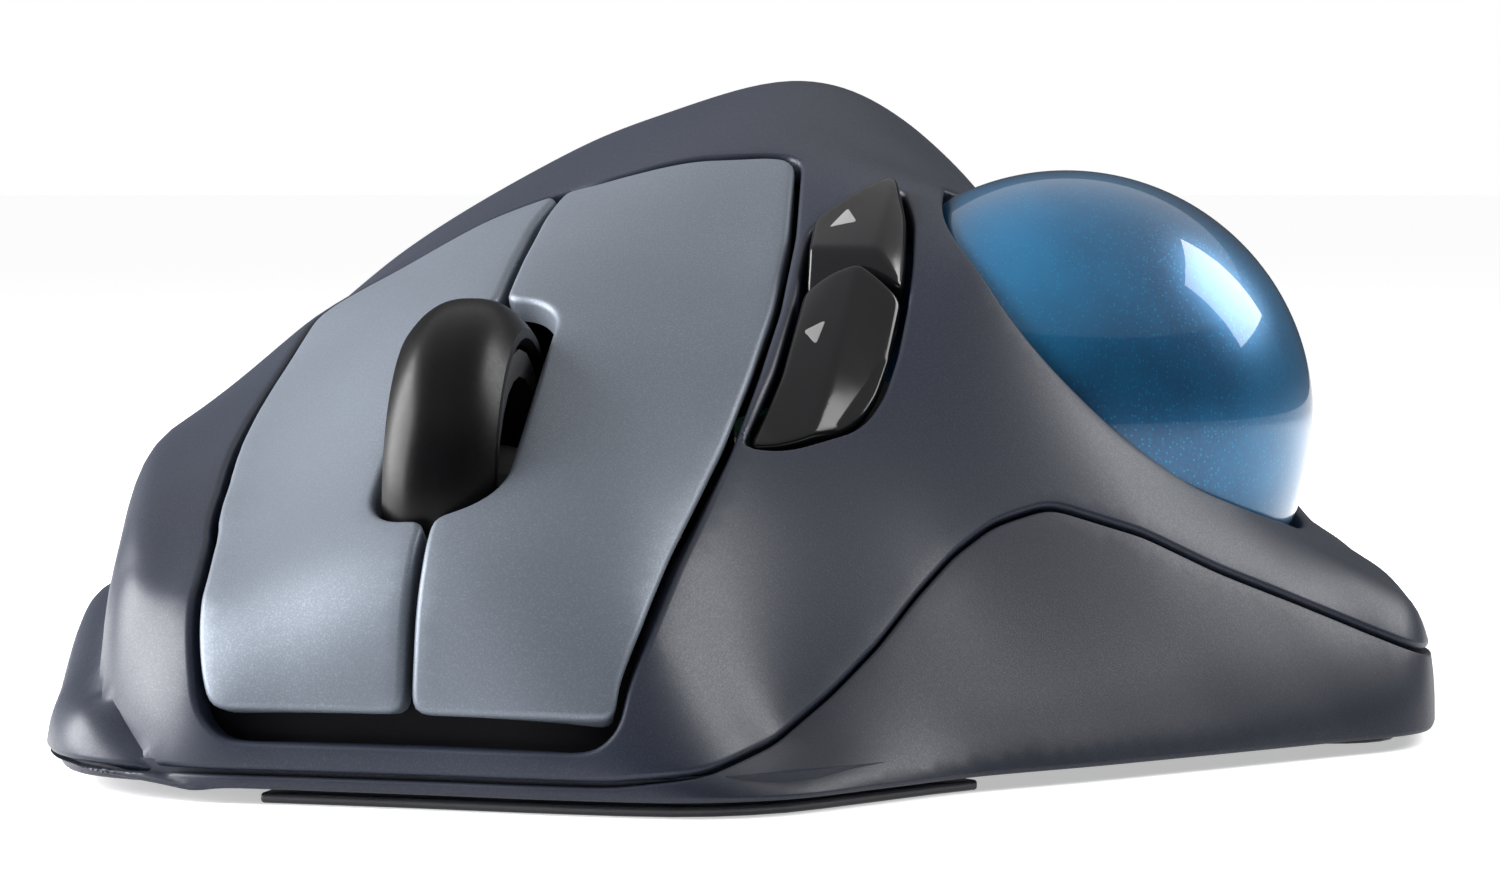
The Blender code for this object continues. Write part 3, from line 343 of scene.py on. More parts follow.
@dataclass(frozen=True)
class Polished:
    """Hard polished plastic with the faintest waviness."""

    name: str
    colour: Colour
    roughness: float = 0.06
    coat: float = 1.0
    gloss: float = 0.5

    def build(self) -> bpy.types.Material:
        """Return the material."""
        graph = Graph(self.name)
        smear = graph.noise(6.0, 3.0)
        rough = graph.remap(smear, 0.3, 0.7, (self.roughness * 0.7, self.roughness * 1.6))
        tone = graph.blend(graph.remap(smear, 0.4, 0.6, (0.0, 0.3)), self.colour,
                           tuple(channel * 1.3 for channel in self.colour))
        graph.bump(graph.noise(2.5, 1.0), 0.003, 0.3)
        return graph.shade({"Base Color": tone, "Roughness": rough, "Coat Weight": self.coat,
                            "Coat Roughness": 0.03, "Specular IOR Level": self.gloss})


@dataclass(frozen=True)
class PearlBall:
    """Deep pearl under a thick clear coat, with scattered flecks that glint."""

    name: str
    deep: Colour
    bright: Colour
    fleck: Colour

    def build(self) -> bpy.types.Material:
        """Return the material."""
        graph = Graph(self.name)
        swirl = graph.noise(14.0, 3.0)
        tone = graph.blend(graph.remap(swirl, 0.35, 0.65, (0.0, 1.0)), self.deep, self.bright)
        cell = graph.split(graph.cells(0.22))
        near = graph.cells(0.22, "Distance")
        fleck = (cell > 0.72) * (1.0 - (near > 0.34))
        tone = graph.blend(fleck * 0.55, tone, self.fleck)
        dust = graph.remap(graph.noise(0.25, 2.0), 0.50, 0.75, (0.0, 0.45))
        tone = graph.blend(dust, tone, self.bright)
        metal = graph.remap(fleck, 0.0, 1.0, (0.55, 0.85))
        return graph.shade({"Base Color": tone, "Metallic": metal, "Roughness": 0.34,
                            "Coat Weight": 1.0, "Coat Roughness": 0.012, "Coat IOR": 1.33})


@dataclass(frozen=True)
class Moulded:
    """Plain moulded plastic or rubber with a fine tooled grain."""

    name: str
    colour: Colour
    roughness: float = 0.5
    grain: float = 0.3
    depth: float = 0.010
    gloss: float = 0.5

    def build(self) -> bpy.types.Material:
        """Return the material."""
        graph = Graph(self.name)
        grain = graph.noise(self.grain, 3.0)
        worn = graph.noise(7.0, 2.0)
        tone = graph.blend(graph.remap(worn, 0.35, 0.7, (0.0, 0.6)), self.colour,
                           tuple(channel * 1.35 + 0.002 for channel in self.colour))
        rough = graph.remap(grain, 0.3, 0.7, (self.roughness - 0.04, self.roughness + 0.04))
        graph.bump(grain, self.depth, 0.6)
        return graph.shade({"Base Color": tone, "Roughness": rough,
                            "Specular IOR Level": self.gloss})


@dataclass(frozen=True)
class Metal:
    """Drawn or plated metal with fine lines along one axis."""

    name: str
    colour: Colour
    roughness: float = 0.28
    stretch: tuple[float, float, float] = (1.0, 1.0, 12.0)

    def build(self) -> bpy.types.Material:
        """Return the material."""
        graph = Graph(self.name)
        scale = {"Vector": graph.place(), "Scale": self.stretch}
        lines = graph.noise(1.2, 3.0, graph.add("ShaderNodeMapping", {}, scale))
        rough = graph.remap(lines, 0.3, 0.7, (self.roughness - 0.08, self.roughness + 0.1))
        tone = graph.blend(graph.remap(lines, 0.3, 0.7, (0.0, 0.5)), self.colour,
                           tuple(channel * 0.8 for channel in self.colour))
        graph.bump(lines, 0.004, 0.4)
        return graph.shade({"Base Color": tone, "Roughness": rough, "Metallic": 1.0})


@dataclass(frozen=True)
class CircuitBoard:
    """Solder-masked board with raised tracks and tinned pads."""

    name: str
    mask: Colour
    track: Colour
    pad: Colour

    def build(self) -> bpy.types.Material:
        """Return the material."""
        graph = Graph(self.name)
        across = self.lines(graph, graph.axis("X"), 0.8)
        along = self.lines(graph, graph.axis("Y"), 1.1)
        region = graph.noise(6.0, 0.0) > 0.52
        tracks = across * region + along * (1.0 - region)
        tone = graph.blend(tracks, self.mask, self.track)
        pads = (graph.split(graph.cells(1.6)) > 0.8) * (1.0 - (graph.cells(1.6, "Distance") > 0.28))
        tone = graph.blend(pads, tone, self.pad)
        graph.bump(tracks + pads, 0.03, 0.5)
        return graph.shade({"Base Color": tone, "Roughness": 0.34, "Metallic": pads})

    @staticmethod
    def lines(graph: Graph, value: Wire, pitch: float) -> Wire:
        """Return 1 on lines that repeat at a pitch in millimetres."""
        wave = value.math("FRACT", value * (1.0 / (pitch * MM)), 0.0)
        return wave > 0.62


@dataclass(frozen=True)
class Clear:
    """Clear moulded plastic."""

    name: str
    colour: Colour

    def build(self) -> bpy.types.Material:
        """Return the material."""
        graph = Graph(self.name)
        rough = graph.remap(graph.noise(1.5, 2.0), 0.3, 0.7, (0.05, 0.15))
        return graph.shade({"Base Color": self.colour, "Roughness": rough, "IOR": 1.55,
                            "Transmission Weight": 0.85})


@dataclass(frozen=True)
class BatterySleeve:
    """The printed sleeve of a dry cell, with a lighter band at one end."""

    name: str
    colour: Colour
    band: Colour
    band_starts_y: float

    def build(self) -> bpy.types.Material:
        """Return the material."""
        graph = Graph(self.name)
        band = graph.axis("Y") > self.band_starts_y * MM
        scuff = graph.remap(graph.noise(3.0, 4.0), 0.4, 0.7, (0.0, 0.25))
        tone = graph.blend(scuff, graph.blend(band, self.colour, self.band), (0.3, 0.3, 0.3))
        rough = graph.remap(scuff, 0.0, 0.25, (0.22, 0.4))
        return graph.shade({"Base Color": tone, "Roughness": rough, "Metallic": 0.6})


class Finish(Enum):
    """Every finish on the mouse."""

    SHELL = SpeckledPlastic("slate_shell", (0.012, 0.016, 0.029), (0.042, 0.052, 0.078), 0.43, 0.08,
                            0.35)
    BASE = SpeckledPlastic("slate_base", (0.011, 0.014, 0.025), (0.036, 0.044, 0.064), 0.46, 0.06,
                           0.35)
    KEY = SpeckledPlastic("silver_key", (0.112, 0.130, 0.158), (0.230, 0.256, 0.296), 0.47, 0.40,
                          0.4)
    GLOSS = Polished("gloss_black", (0.005, 0.005, 0.006), 0.10, 0.0, 0.22)
    MARK = Moulded("button_mark", (0.200, 0.200, 0.200), 0.35, 0.2, 0.002)
    BALL = PearlBall("blue_pearl", (0.003, 0.055, 0.140), (0.004, 0.125, 0.275),
                     (0.020, 0.240, 0.420))
    RUBBER = Moulded("wheel_rubber", (0.0012, 0.0012, 0.0016), 0.32, 0.25, 0.001, 0.12)
    FOOT = Moulded("glide_foot", (0.020, 0.021, 0.026), 0.32, 0.5, 0.004)
    # near-black inner wall, far darker than the inner plastic: painted shade for the recess under the
    # keys
    LINER = Moulded("liner_painted_shade", (0.003, 0.003, 0.005), 0.60, 0.3, 0.01, 0.12)
    INNER = Moulded("inner_plastic", (0.022, 0.022, 0.025), 0.48, 0.4, 0.012)
    SWITCH = Moulded("switch_body", (0.045, 0.045, 0.050), 0.4, 0.5, 0.008)
    CHIP = Moulded("chip_resin", (0.016, 0.016, 0.018), 0.55, 0.2, 0.006)
    CERAMIC = Polished("bearing_ceramic", (0.780, 0.780, 0.760), 0.12, 0.3)
    STEEL = Metal("plated_steel", (0.600, 0.600, 0.620))
    BOARD = CircuitBoard("circuit_board", (0.010, 0.085, 0.040), (0.018, 0.150, 0.070),
                         (0.620, 0.580, 0.470))
    CLEAR = Clear("clear_plastic", (0.850, 0.880, 0.900))
    SLEEVE = BatterySleeve("battery_sleeve", (0.040, 0.042, 0.048), (0.520, 0.480, 0.400), 40.0)


MATERIALS: dict[Finish, bpy.types.Material] = {}


def dress(item: bpy.types.Object, finish: Finish) -> bpy.types.Object:
    """Give a piece one finish and return the piece."""
    if finish not in MATERIALS:
        MATERIALS[finish] = finish.value.build()
    item.data.materials.clear()
    item.data.materials.append(MATERIALS[finish])
    return item


# ---------------------------------------------------------------- curves and outlines

def closed_curve(points: Sequence[Point], steps: int) -> Array:
    """Return a smooth closed curve through points, with a number of samples to each span."""
    hold = np.array(points, float)
    share = (np.arange(steps) / steps)[:, None]
    spans = []
    for i in range(len(hold)):
        a, b = hold[i - 1], hold[i]
        c, d = hold[(i + 1) % len(hold)], hold[(i + 2) % len(hold)]
        spans.append(0.5 * (2 * b + (c - a) * share + (2 * a - 5 * b + 4 * c - d) * share ** 2
                            + (3 * b - 3 * c + d - a) * share ** 3))
    return np.vstack(spans)


def offset_outline(outline: Sequence[Point], distance: float, closed: bool = True) -> Array:
    """Return an anticlockwise outline moved outward by a distance, with mitred corners."""
    points = np.array(outline, float)
    before = points - np.roll(points, 1, axis=0)
    after = np.roll(points, -1, axis=0) - points
    if not closed:
        before[0], after[-1] = after[0], before[-1]
    before /= np.linalg.norm(before, axis=1)[:, None]
    after /= np.linalg.norm(after, axis=1)[:, None]
    normal_before = np.stack([before[:, 1], -before[:, 0]], axis=1)
    normal_after = np.stack([after[:, 1], -after[:, 0]], axis=1)
    middle = normal_before + normal_after
    middle /= np.linalg.norm(middle, axis=1)[:, None]
    stretch = distance / np.maximum((middle * normal_after).sum(axis=1), 0.5)
    return points + middle * stretch[:, None]


def rounded_rectangle(x_range: Point, y_range: Point, corner: float, steps: int = 8) -> Array:
    """Return the anticlockwise outline of a rectangle with round corners."""
    centres = [(x_range[1] - corner, y_range[0] + corner, -90.0),
               (x_range[1] - corner, y_range[1] - corner, 0.0),
               (x_range[0] + corner, y_range[1] - corner, 90.0),
               (x_range[0] + corner, y_range[0] + corner, 180.0)]
    points = []
    for x, y, start in centres:
        for step in range(steps + 1):
            angle = math.radians(start + 90.0 * step / steps)
            points.append((x + corner * math.cos(angle), y + corner * math.sin(angle)))
    return np.array(points)


def circle(x: float, y: float, radius: float, steps: int = 48) -> Array:
    """Return an anticlockwise circle."""
    angles = np.linspace(0, 2 * math.pi, steps, endpoint=False)
    return np.stack([x + radius * np.cos(angles), y + radius * np.sin(angles)], axis=1)


def ease(value: Array) -> Array:
    """Return a smooth step from 0 to 1."""
    value = np.clip(value, 0, 1)
    return value * value * (3 - 2 * value)


def rolled(inset: Array, width: Array, power: float = 2.8) -> Array:
    """Return how much of the height is reached at a distance from the edge."""
    share = np.clip(1 - inset / width, 0, 1)
    return (1 - share ** power) ** (1 / power)


def smooth_max(first: Array, second: Array, reach: Array) -> Array:
    """Return the larger of two heights, blended where they meet."""
    share = np.clip(0.5 + 0.5 * (first - second) / reach, 0, 1)
    return second + (first - second) * share + reach * share * (1 - share)


def inside(points: Array, loops: Sequence[Array]) -> Array:
    """Return which points lie inside an even-odd set of loops."""
    result = np.zeros(len(points), bool)
    for loop in loops:
        for start, end in zip(loop, np.roll(loop, -1, axis=0)):
            if start[1] == end[1]:
                continue
            crosses = (points[:, 1] > min(start[1], end[1])) & (points[:, 1] <= max(start[1], end[1]))
            at = start[0] + (points[:, 1] - start[1]) * (end[0] - start[0]) / (end[1] - start[1])
            result ^= crosses & (points[:, 0] < at)
    return result


# ---------------------------------------------------------------- the body's surface

class BodyForm:
    """The upper surface of the body as a height over the plan."""

    SKIRT = 3.3                   # how far the skirt stands out on the pinky side
    SKIRT_EDGE_RADIUS = 1.8
    LEAST_CROWN = 1.6

    def __init__(self) -> None:
        """Fit the smooth sheet through all the surface lines."""
        self.edge = closed_curve(OUTLINE, 40)
        points = np.array([p for line in SURFACE_LINES.values() for p in line])
        self.places = points[:, :2]
        count = len(points)
        gaps = np.linalg.norm(self.places[:, None] - self.places[None], axis=2)
        system = np.zeros((count + 3, count + 3))
        system[:count, :count] = self.thin_plate(gaps) + SURFACE_SMOOTHING * np.eye(count)
        system[:count, count] = 1.0
        system[:count, count + 1:] = self.places
        system[count, :count] = 1.0
        system[count + 1:, :count] = self.places.T
        self.weights = np.linalg.solve(system, np.r_[points[:, 2], 0.0, 0.0, 0.0])

    @staticmethod
    def thin_plate(distance: Array) -> Array:
        """Return the thin-plate kernel of a distance."""
        return distance ** 2 * np.log(np.maximum(distance, 1e-9))

    def crown(self, places: Array) -> Array:
        """Return the height of the sheet at places in plan."""
        count = len(self.places)
        result = np.empty(len(places))
        for start in range(0, len(places), 20000):
            part = places[start:start + 20000]
            gaps = np.sqrt((part[:, None, 0] - self.places[None, :, 0]) ** 2
                           + (part[:, None, 1] - self.places[None, :, 1]) ** 2)
            flat = self.weights[count] + part @ self.weights[count + 1:]
            result[start:start + 20000] = self.thin_plate(gaps) @ self.weights[:count] + flat
        return result

    def inset(self, places: Array) -> Array:
        """Return how far each place lies inside the outline."""
        coarse = self.edge[::4]
        best = np.full(len(places), 1e9)
        for start in range(0, len(places), 20000):
            part = places[start:start + 20000]
            squares = ((part[:, None, 0] - coarse[None, :, 0]) ** 2
                       + (part[:, None, 1] - coarse[None, :, 1]) ** 2)
            nearest = squares.argmin(axis=1) * 4
            gap = np.full(len(part), 1e9)
            for shift in range(-6, 6):
                first = self.edge[(nearest + shift) % len(self.edge)]
                along = self.edge[(nearest + shift + 1) % len(self.edge)] - first
                share = ((part - first) * along).sum(axis=1) / (along * along).sum(axis=1)
                share = np.clip(share, 0, 1)[:, None]
                gap = np.minimum(gap, np.linalg.norm(part - first - share * along, axis=1))
            best[start:start + 20000] = gap
        return best

    def height(self, places: Array) -> Array:
        """Return the height of the finished surface, walls rounded down to the base."""
        x, y = places[:, 0], places[:, 1]
        inset = self.inset(places)
        crown = smooth_max(self.crown(places), self.LEAST_CROWN, 2.4)
        side = ease((-x - 8.7) / 14) * ease((y + 66) / 8)
        corner = ease((-x - 23.0) / 12) * ease((y + 72) / 9)
        skirt = self.SKIRT * np.maximum(side, corner) * (1 - ease((y - 20) / 30))
        thumb = ease((x - 3.3) / 9) * (1 - ease((y - 4) / 24))
        rear = ease((y - 25) / 30)
        pinky = ease((-x - 22.7) / 8) * ease((y + 68) / 8)
        front = 6.0 - 2.8 * pinky
        width = front * (1 - thumb) * (1 - rear) + 2.6 * thumb + 16.0 * rear
        body = UNDERSIDE_Z + (crown - UNDERSIDE_Z) * rolled(np.maximum(inset - skirt, 0), width)
        ledge = 4.6 + 4.6 * ease((y + 62) / 32) - 3.5 * ease(y / 40) + 0.35 * inset
        edge = rolled(inset, self.SKIRT_EDGE_RADIUS)
        low = UNDERSIDE_Z + (np.minimum(ledge, crown + 2) - UNDERSIDE_Z) * edge
        share = skirt / self.SKIRT
        fillet = (3.4 - 1.6 * ease((y + 50) / 20)) * share + 0.001
        blend = smooth_max(body, low * share + body * (1 - share), fillet)
        return np.where(skirt > 0.02, blend, body)


class FlatMap:
    """The body's skin unrolled onto a disc: the outline is its rim, and spokes keep their length."""

    ANGLES = 720
    STEPS = 420
    RIM = 80.0

    def __init__(self, form: BodyForm) -> None:
        """Sample the surface along spokes and share each spoke out evenly."""
        self.form = form
        angles = np.linspace(-math.pi, math.pi, self.ANGLES, endpoint=False)
        reach = self.reaches(angles)
        near = np.r_[0.0, np.geomspace(2e-4, 12.0, 170)]
        far = np.linspace(0.0, 1.0, 131)[1:]
        radius = np.concatenate([reach[:, None] - near[None],
                                 (reach[:, None] - 12.0) * (1 - far[None])], axis=1)
        flat = np.stack([radius * np.cos(angles)[:, None], radius * np.sin(angles)[:, None]], axis=2)
        height = form.height(flat.reshape(-1, 2)).reshape(radius.shape)
        height[:, -1] = height[:, -1].mean()
        spokes = np.dstack([flat, height])
        steps = np.linalg.norm(np.diff(spokes, axis=1), axis=2)
        length = np.concatenate([np.zeros((self.ANGLES, 1)), np.cumsum(steps, axis=1)], axis=1)
        share = length / length[:, -1:]
        even = np.linspace(0, 1, self.STEPS + 1)
        self.table = np.empty((self.ANGLES, self.STEPS + 1, 3))
        for row in range(self.ANGLES):
            for part in range(3):
                self.table[row, :, part] = np.interp(even, share[row], spokes[row, :, part])

    def reaches(self, angles: Array) -> Array:
        """Return how far the outline lies from the middle at each angle."""
        start, end = self.form.edge, np.roll(self.form.edge, -1, axis=0)
        first = np.arctan2(start[:, 1], start[:, 0])
        turn = np.mod(np.arctan2(end[:, 1], end[:, 0]) - first, 2 * math.pi)
        result = np.empty(len(angles))
        for i, angle in enumerate(angles):
            past = np.mod(angle - first, 2 * math.pi)
            k = int(np.argmax((past <= turn) & (turn < 1.0)))
            ray = np.array([math.cos(angle), math.sin(angle)])
            along = end[k] - start[k]
            cross = ray[0] * along[1] - ray[1] * along[0]
            result[i] = (start[k][0] * along[1] - start[k][1] * along[0]) / cross
        return result

    @staticmethod
    def cubic(share: Array) -> list[Array]:
        """Return the four Catmull-Rom weights at shares of a step."""
        square, cube = share * share, share * share * share
        return [(-share + 2 * square - cube) / 2, (2 - 5 * square + 3 * cube) / 2,
                (share + 4 * square - 3 * cube) / 2, (cube - square) / 2]

    def lift(self, flat: Array) -> Array:
        """Return the points of the skin at places on the disc."""
        across = (np.arctan2(flat[:, 1], flat[:, 0]) + math.pi) / (2 * math.pi) * self.ANGLES
        down = (1 - np.linalg.norm(flat, axis=1) / self.RIM) * self.STEPS
        down = np.clip(down, 0, self.STEPS - 1e-6)
        column, row = np.floor(across).astype(int), np.floor(down).astype(int)
        result = np.zeros((len(flat), 3))
        for i, weight in enumerate(self.cubic(across - column)):
            for j, other in enumerate(self.cubic(down - row)):
                rows = np.clip(row + j - 1, 0, self.STEPS)
                point = self.table[(column + i - 1) % self.ANGLES, rows]
                result += point * (weight * other)[:, None]
        return result

    def slopes(self, flat: Array) -> tuple[Array, Array]:
        """Return the skin's change along the disc's two axes."""
        step = 0.06
        shrink = np.minimum(1.0, (self.RIM - step) / np.maximum(np.linalg.norm(flat, axis=1), 1e-9))
        flat = flat * shrink[:, None]
        right, up = np.array([step, 0.0]), np.array([0.0, step])
        return ((self.lift(flat + right) - self.lift(flat - right)) / (2 * step),
                (self.lift(flat + up) - self.lift(flat - up)) / (2 * step))

    def normals(self, flat: Array) -> Array:
        """Return the outward normals at places on the disc."""
        across, along = self.slopes(flat)
        normal = np.cross(across, along)
        return normal / np.maximum(np.linalg.norm(normal, axis=1), 1e-12)[:, None]

    def on_disc(self, angle: Array, share: Array) -> Array:
        """Return the disc places at angles and shares of the spoke from the rim."""
        radius = self.RIM * (1 - share)
        return np.stack([radius * np.cos(angle), radius * np.sin(angle)], axis=1)

    def from_plan(self, places: Array) -> Array:
        """Return the disc places that lie at places in plan."""
        places = np.array(places, float)
        angle = np.arctan2(places[:, 1], places[:, 0])
        column = np.mod((angle + math.pi) / (2 * math.pi) * self.ANGLES, self.ANGLES)
        first = np.floor(column).astype(int)
        radius = np.linalg.norm(places, axis=1)
        shares = np.empty(len(places))
        even = np.linspace(0, 1, self.STEPS + 1)
        for i in range(len(places)):
            found = []
            for row in (first[i] % self.ANGLES, (first[i] + 1) % self.ANGLES):
                reach = np.linalg.norm(self.table[row, :, :2], axis=1)
                found.append(np.interp(-radius[i], -reach, even))
            part = column[i] - first[i]
            shares[i] = found[0] * (1 - part) + found[1] * part
        return self.on_disc(angle, shares)

    def crossings(self, height: Callable[[Array, Array], Array]) -> Array:
        """Return where each spoke first climbs past a height that depends on the plan."""
        x, y, z = (self.table[:, :, k] for k in range(3))
        over = z - height(x, y)
        rows = np.arange(self.ANGLES)
        after = np.maximum(np.argmax(over >= 0, axis=1), 1)
        low, high = over[rows, after - 1], over[rows, after]
        share = (after - 1 + np.clip(-low / np.maximum(high - low, 1e-9), 0, 1)) / self.STEPS
        return share

    def front_wall(self, xs: Sequence[float], z: float) -> Array:
        """Return the disc places at positions across the front wall, at one height."""
        share = self.crossings(lambda x, y: np.full_like(x, z))
        angles = np.linspace(-math.pi, math.pi, self.ANGLES, endpoint=False)
        points = self.lift(self.on_disc(angles, share))
        front = (angles > math.radians(-140)) & (angles < math.radians(-60))
        angle = np.interp(xs, points[front, 0], angles[front])
        return self.on_disc(angle, np.interp(angle, angles, share))


# ---------------------------------------------------------------- mesh helpers

def make_object(name: str, points: Array, faces: Sequence[Sequence[int]]) -> bpy.types.Object:
    """Return a linked mesh object made from points in millimetres."""
    mesh = bpy.data.meshes.new(name)
    mesh.from_pydata((np.asarray(points) * MM).tolist(), [], [list(f) for f in faces])
    mesh.update()
    item = bpy.data.objects.new(name, mesh)
    bpy.context.scene.collection.objects.link(item)
    return item


def choose(item: bpy.types.Object) -> None:
    """Make one object the only selected and the active one."""
    bpy.ops.object.select_all(action="DESELECT")
    item.select_set(True)
    bpy.context.view_layer.objects.active = item


def smooth(item: bpy.types.Object, degrees: float = 35.0) -> bpy.types.Object:
    """Shade a piece smooth except at edges sharper than an angle."""
    choose(item)
    bpy.ops.object.shade_smooth_by_angle(angle=math.radians(degrees))
    return item


def apply_modifier(item: bpy.types.Object, kind: str, settings: dict) -> None:
    """Add a modifier and apply it."""
    choose(item)
    modifier = item.modifiers.new(kind.lower(), kind)
    for key, value in settings.items():
        setattr(modifier, key, value)
    bpy.ops.object.modifier_apply(modifier=modifier.name)


def settle(item: bpy.types.Object) -> bpy.types.Object:
    """Move an object's place into its mesh, so that the object sits at the origin."""
    choose(item)
    bpy.ops.object.transform_apply(location=True, rotation=True, scale=True)
    return item


def join(name: str, items: Sequence[bpy.types.Object]) -> bpy.types.Object:
    """Join objects into one piece with a name."""
    bpy.ops.object.select_all(action="DESELECT")
    for item in items:
        item.select_set(True)
    bpy.context.view_layer.objects.active = items[0]
    bpy.ops.object.join()
    items[0].name = name
    items[0].data.name = name
    return items[0]


def resample(points: Array, step: float, lift: Callable[[Array], Array], soften: int) -> Array:
    """Return a closed loop with even steps on the skin and its corners softened.

    Args:
        points: The loop's places in its flat map.
        step: The distance between samples, in millimetres.
        lift: The function from flat places to points in space.
        soften: How many smoothing passes round the corners.

    Returns:
        The loop's new places.
    """
    for turn in range(2):
        share = np.linspace(0, 1, 6, endpoint=False)[:, None]
        dense = np.vstack([a + (b - a) * share for a, b in zip(points, np.roll(points, -1, axis=0))])
        closed = np.vstack([dense, dense[:1]])
        path = lift(closed)
        length = np.r_[0.0, np.cumsum(np.linalg.norm(np.diff(path, axis=0), axis=1))]
        count = max(int(length[-1] / step), 12)
        at = np.linspace(0, length[-1], count, endpoint=False)
        points = np.stack([np.interp(at, length, closed[:, k]) for k in range(2)], axis=1)
        for _ in range(soften if turn == 0 else 0):
            points = (np.roll(points, 1, axis=0) + 2 * points + np.roll(points, -1, axis=0)) / 4
    return points


@dataclass
class Panel:
    """A thick panel cut out of a skin, with a rounded edge all round.

    Its outlines lie on the skin's flat map. The skin is given by two functions from that map.
    """

    lift: Callable[[Array], Array]
    normals: Callable[[Array], Array]
    radius: float = 0.35
    wall: float = WALL
    spacing: float = 1.1
    step: float = 0.45
    keep_clear: float = 0.0
    raised: Callable[[Array], Array] | None = None
    arc: Sequence[float] = (0.0, 18.0, 36.0, 54.0, 72.0, 90.0)

    def build(self, name: str, loops: Sequence[tuple[Array, int]]) -> bpy.types.Object:
        """Return the panel.

        Args:
            name: The piece's name.
            loops: The outer outline and then the holes, each with its softening passes.

        Returns:
            The new object.
        """
        borders, flats, depths = [], [], []
        for number, (points, soften) in enumerate(loops):
            loop = resample(np.array(points, float), self.step, self.lift, soften)
            turn = np.roll(loop, -1, axis=0)
            area = (loop[:, 0] * turn[:, 1] - loop[:, 1] * turn[:, 0]).sum()
            if (area > 0) != (number == 0):
                loop = loop[::-1]
            borders.append(loop)
        for angle in self.arc:
            inward = self.radius * (1 - math.cos(math.radians(angle)))
            depth = self.radius * (1 - math.sin(math.radians(angle)))
            for loop in borders:
                flats.append(loop if inward == 0 else self.moved_in(loop, inward))
                depths.append(np.full(len(loop), depth))
        rings = np.vstack(flats)
        clear = np.ones(len(rings), bool)
        limit = sum(len(border) for border in borders)
        clear[limit:] = inside(rings[limit:], borders)
        grid = self.interior(borders, rings)
        flat = np.vstack([rings[clear], grid])
        depth = np.r_[np.concatenate(depths)[clear], np.zeros(len(grid))]
        flat, depth, faces, border_faces = self.triangles(flat, depth, borders)
        return self.solid(name, flat, depth, faces, border_faces)

    def moved_in(self, loop: Array, distance: float) -> Array:
        """Return a loop moved inward over the skin, which lies on its left."""
        step = 0.05
        across = (self.lift(loop + [step, 0]) - self.lift(loop - [step, 0])) / (2 * step)
        along = (self.lift(loop + [0, step]) - self.lift(loop - [0, step])) / (2 * step)
        path = self.lift(loop)
        tangent = np.roll(path, -1, axis=0) - np.roll(path, 1, axis=0)
        normal = self.normals(loop)
        aim = np.cross(normal, tangent)
        aim *= distance / np.maximum(np.linalg.norm(aim, axis=1), 1e-9)[:, None]
        aa, ab, bb = (across * across).sum(1), (across * along).sum(1), (along * along).sum(1)
        pa, pb = (across * aim).sum(1), (along * aim).sum(1)
        scale = np.maximum(aa * bb - ab * ab, 1e-9)
        return loop + np.stack([(bb * pa - ab * pb) / scale, (aa * pb - ab * pa) / scale], axis=1)

    def interior(self, borders: Sequence[Array], rings: Array) -> Array:
        """Return a triangular grid of places inside the borders and clear of the edge rings."""
        low, high = borders[0].min(axis=0), borders[0].max(axis=0)
        rows = np.arange(low[1], high[1], self.spacing * 0.866)
        grid = []
        for number, y in enumerate(rows):
            xs = np.arange(low[0] + (number % 2) * self.spacing / 2, high[0], self.spacing)
            grid.append(np.stack([xs, np.full(len(xs), y)], axis=1))
        grid = np.vstack(grid)
        grid = grid[inside(grid, borders)]
        tree = KDTree(len(rings))
        for i, point in enumerate(self.lift(rings)):
            tree.insert(point, i)
        tree.balance()
        gaps = np.array([tree.find(point)[2] for point in self.lift(grid)])
        return grid[gaps > self.spacing * 0.5]

    def triangles(self, flat: Array, depth: Array, borders: Sequence[Array]) -> tuple:
        """Return the places, depths, triangles and border edges of the cut-out skin."""
        edges, start = [], 0
        for border in borders:
            count = len(border)
            edges += [(start + i, start + (i + 1) % count) for i in range(count)]
            start += count
        limit = start
        made = delaunay_2d_cdt([Vector(p) for p in flat], edges, [], 0, 1e-6, True)
        places = np.array([tuple(p) for p in made[0]])
        origin = np.array([ids[0] if ids else -1 for ids in made[3]])
        faces = np.array([list(f) for f in made[2]])
        on_border = (origin[faces] < limit).all(axis=1)
        keep = np.ones(len(faces), bool)
        keep[on_border] = inside(places[faces[on_border]].mean(axis=1), borders)
        faces = faces[keep]
        seen: dict[tuple[int, int], int] = {}
        for face in faces:
            for a, b in ((face[0], face[1]), (face[1], face[2]), (face[2], face[0])):
                seen[(int(a), int(b))] = 1
        rim = [pair for pair in seen if (pair[1], pair[0]) not in seen]
        depths = np.where(origin >= 0, depth[np.maximum(origin, 0)], self.radius)
        return places, depths, faces, rim

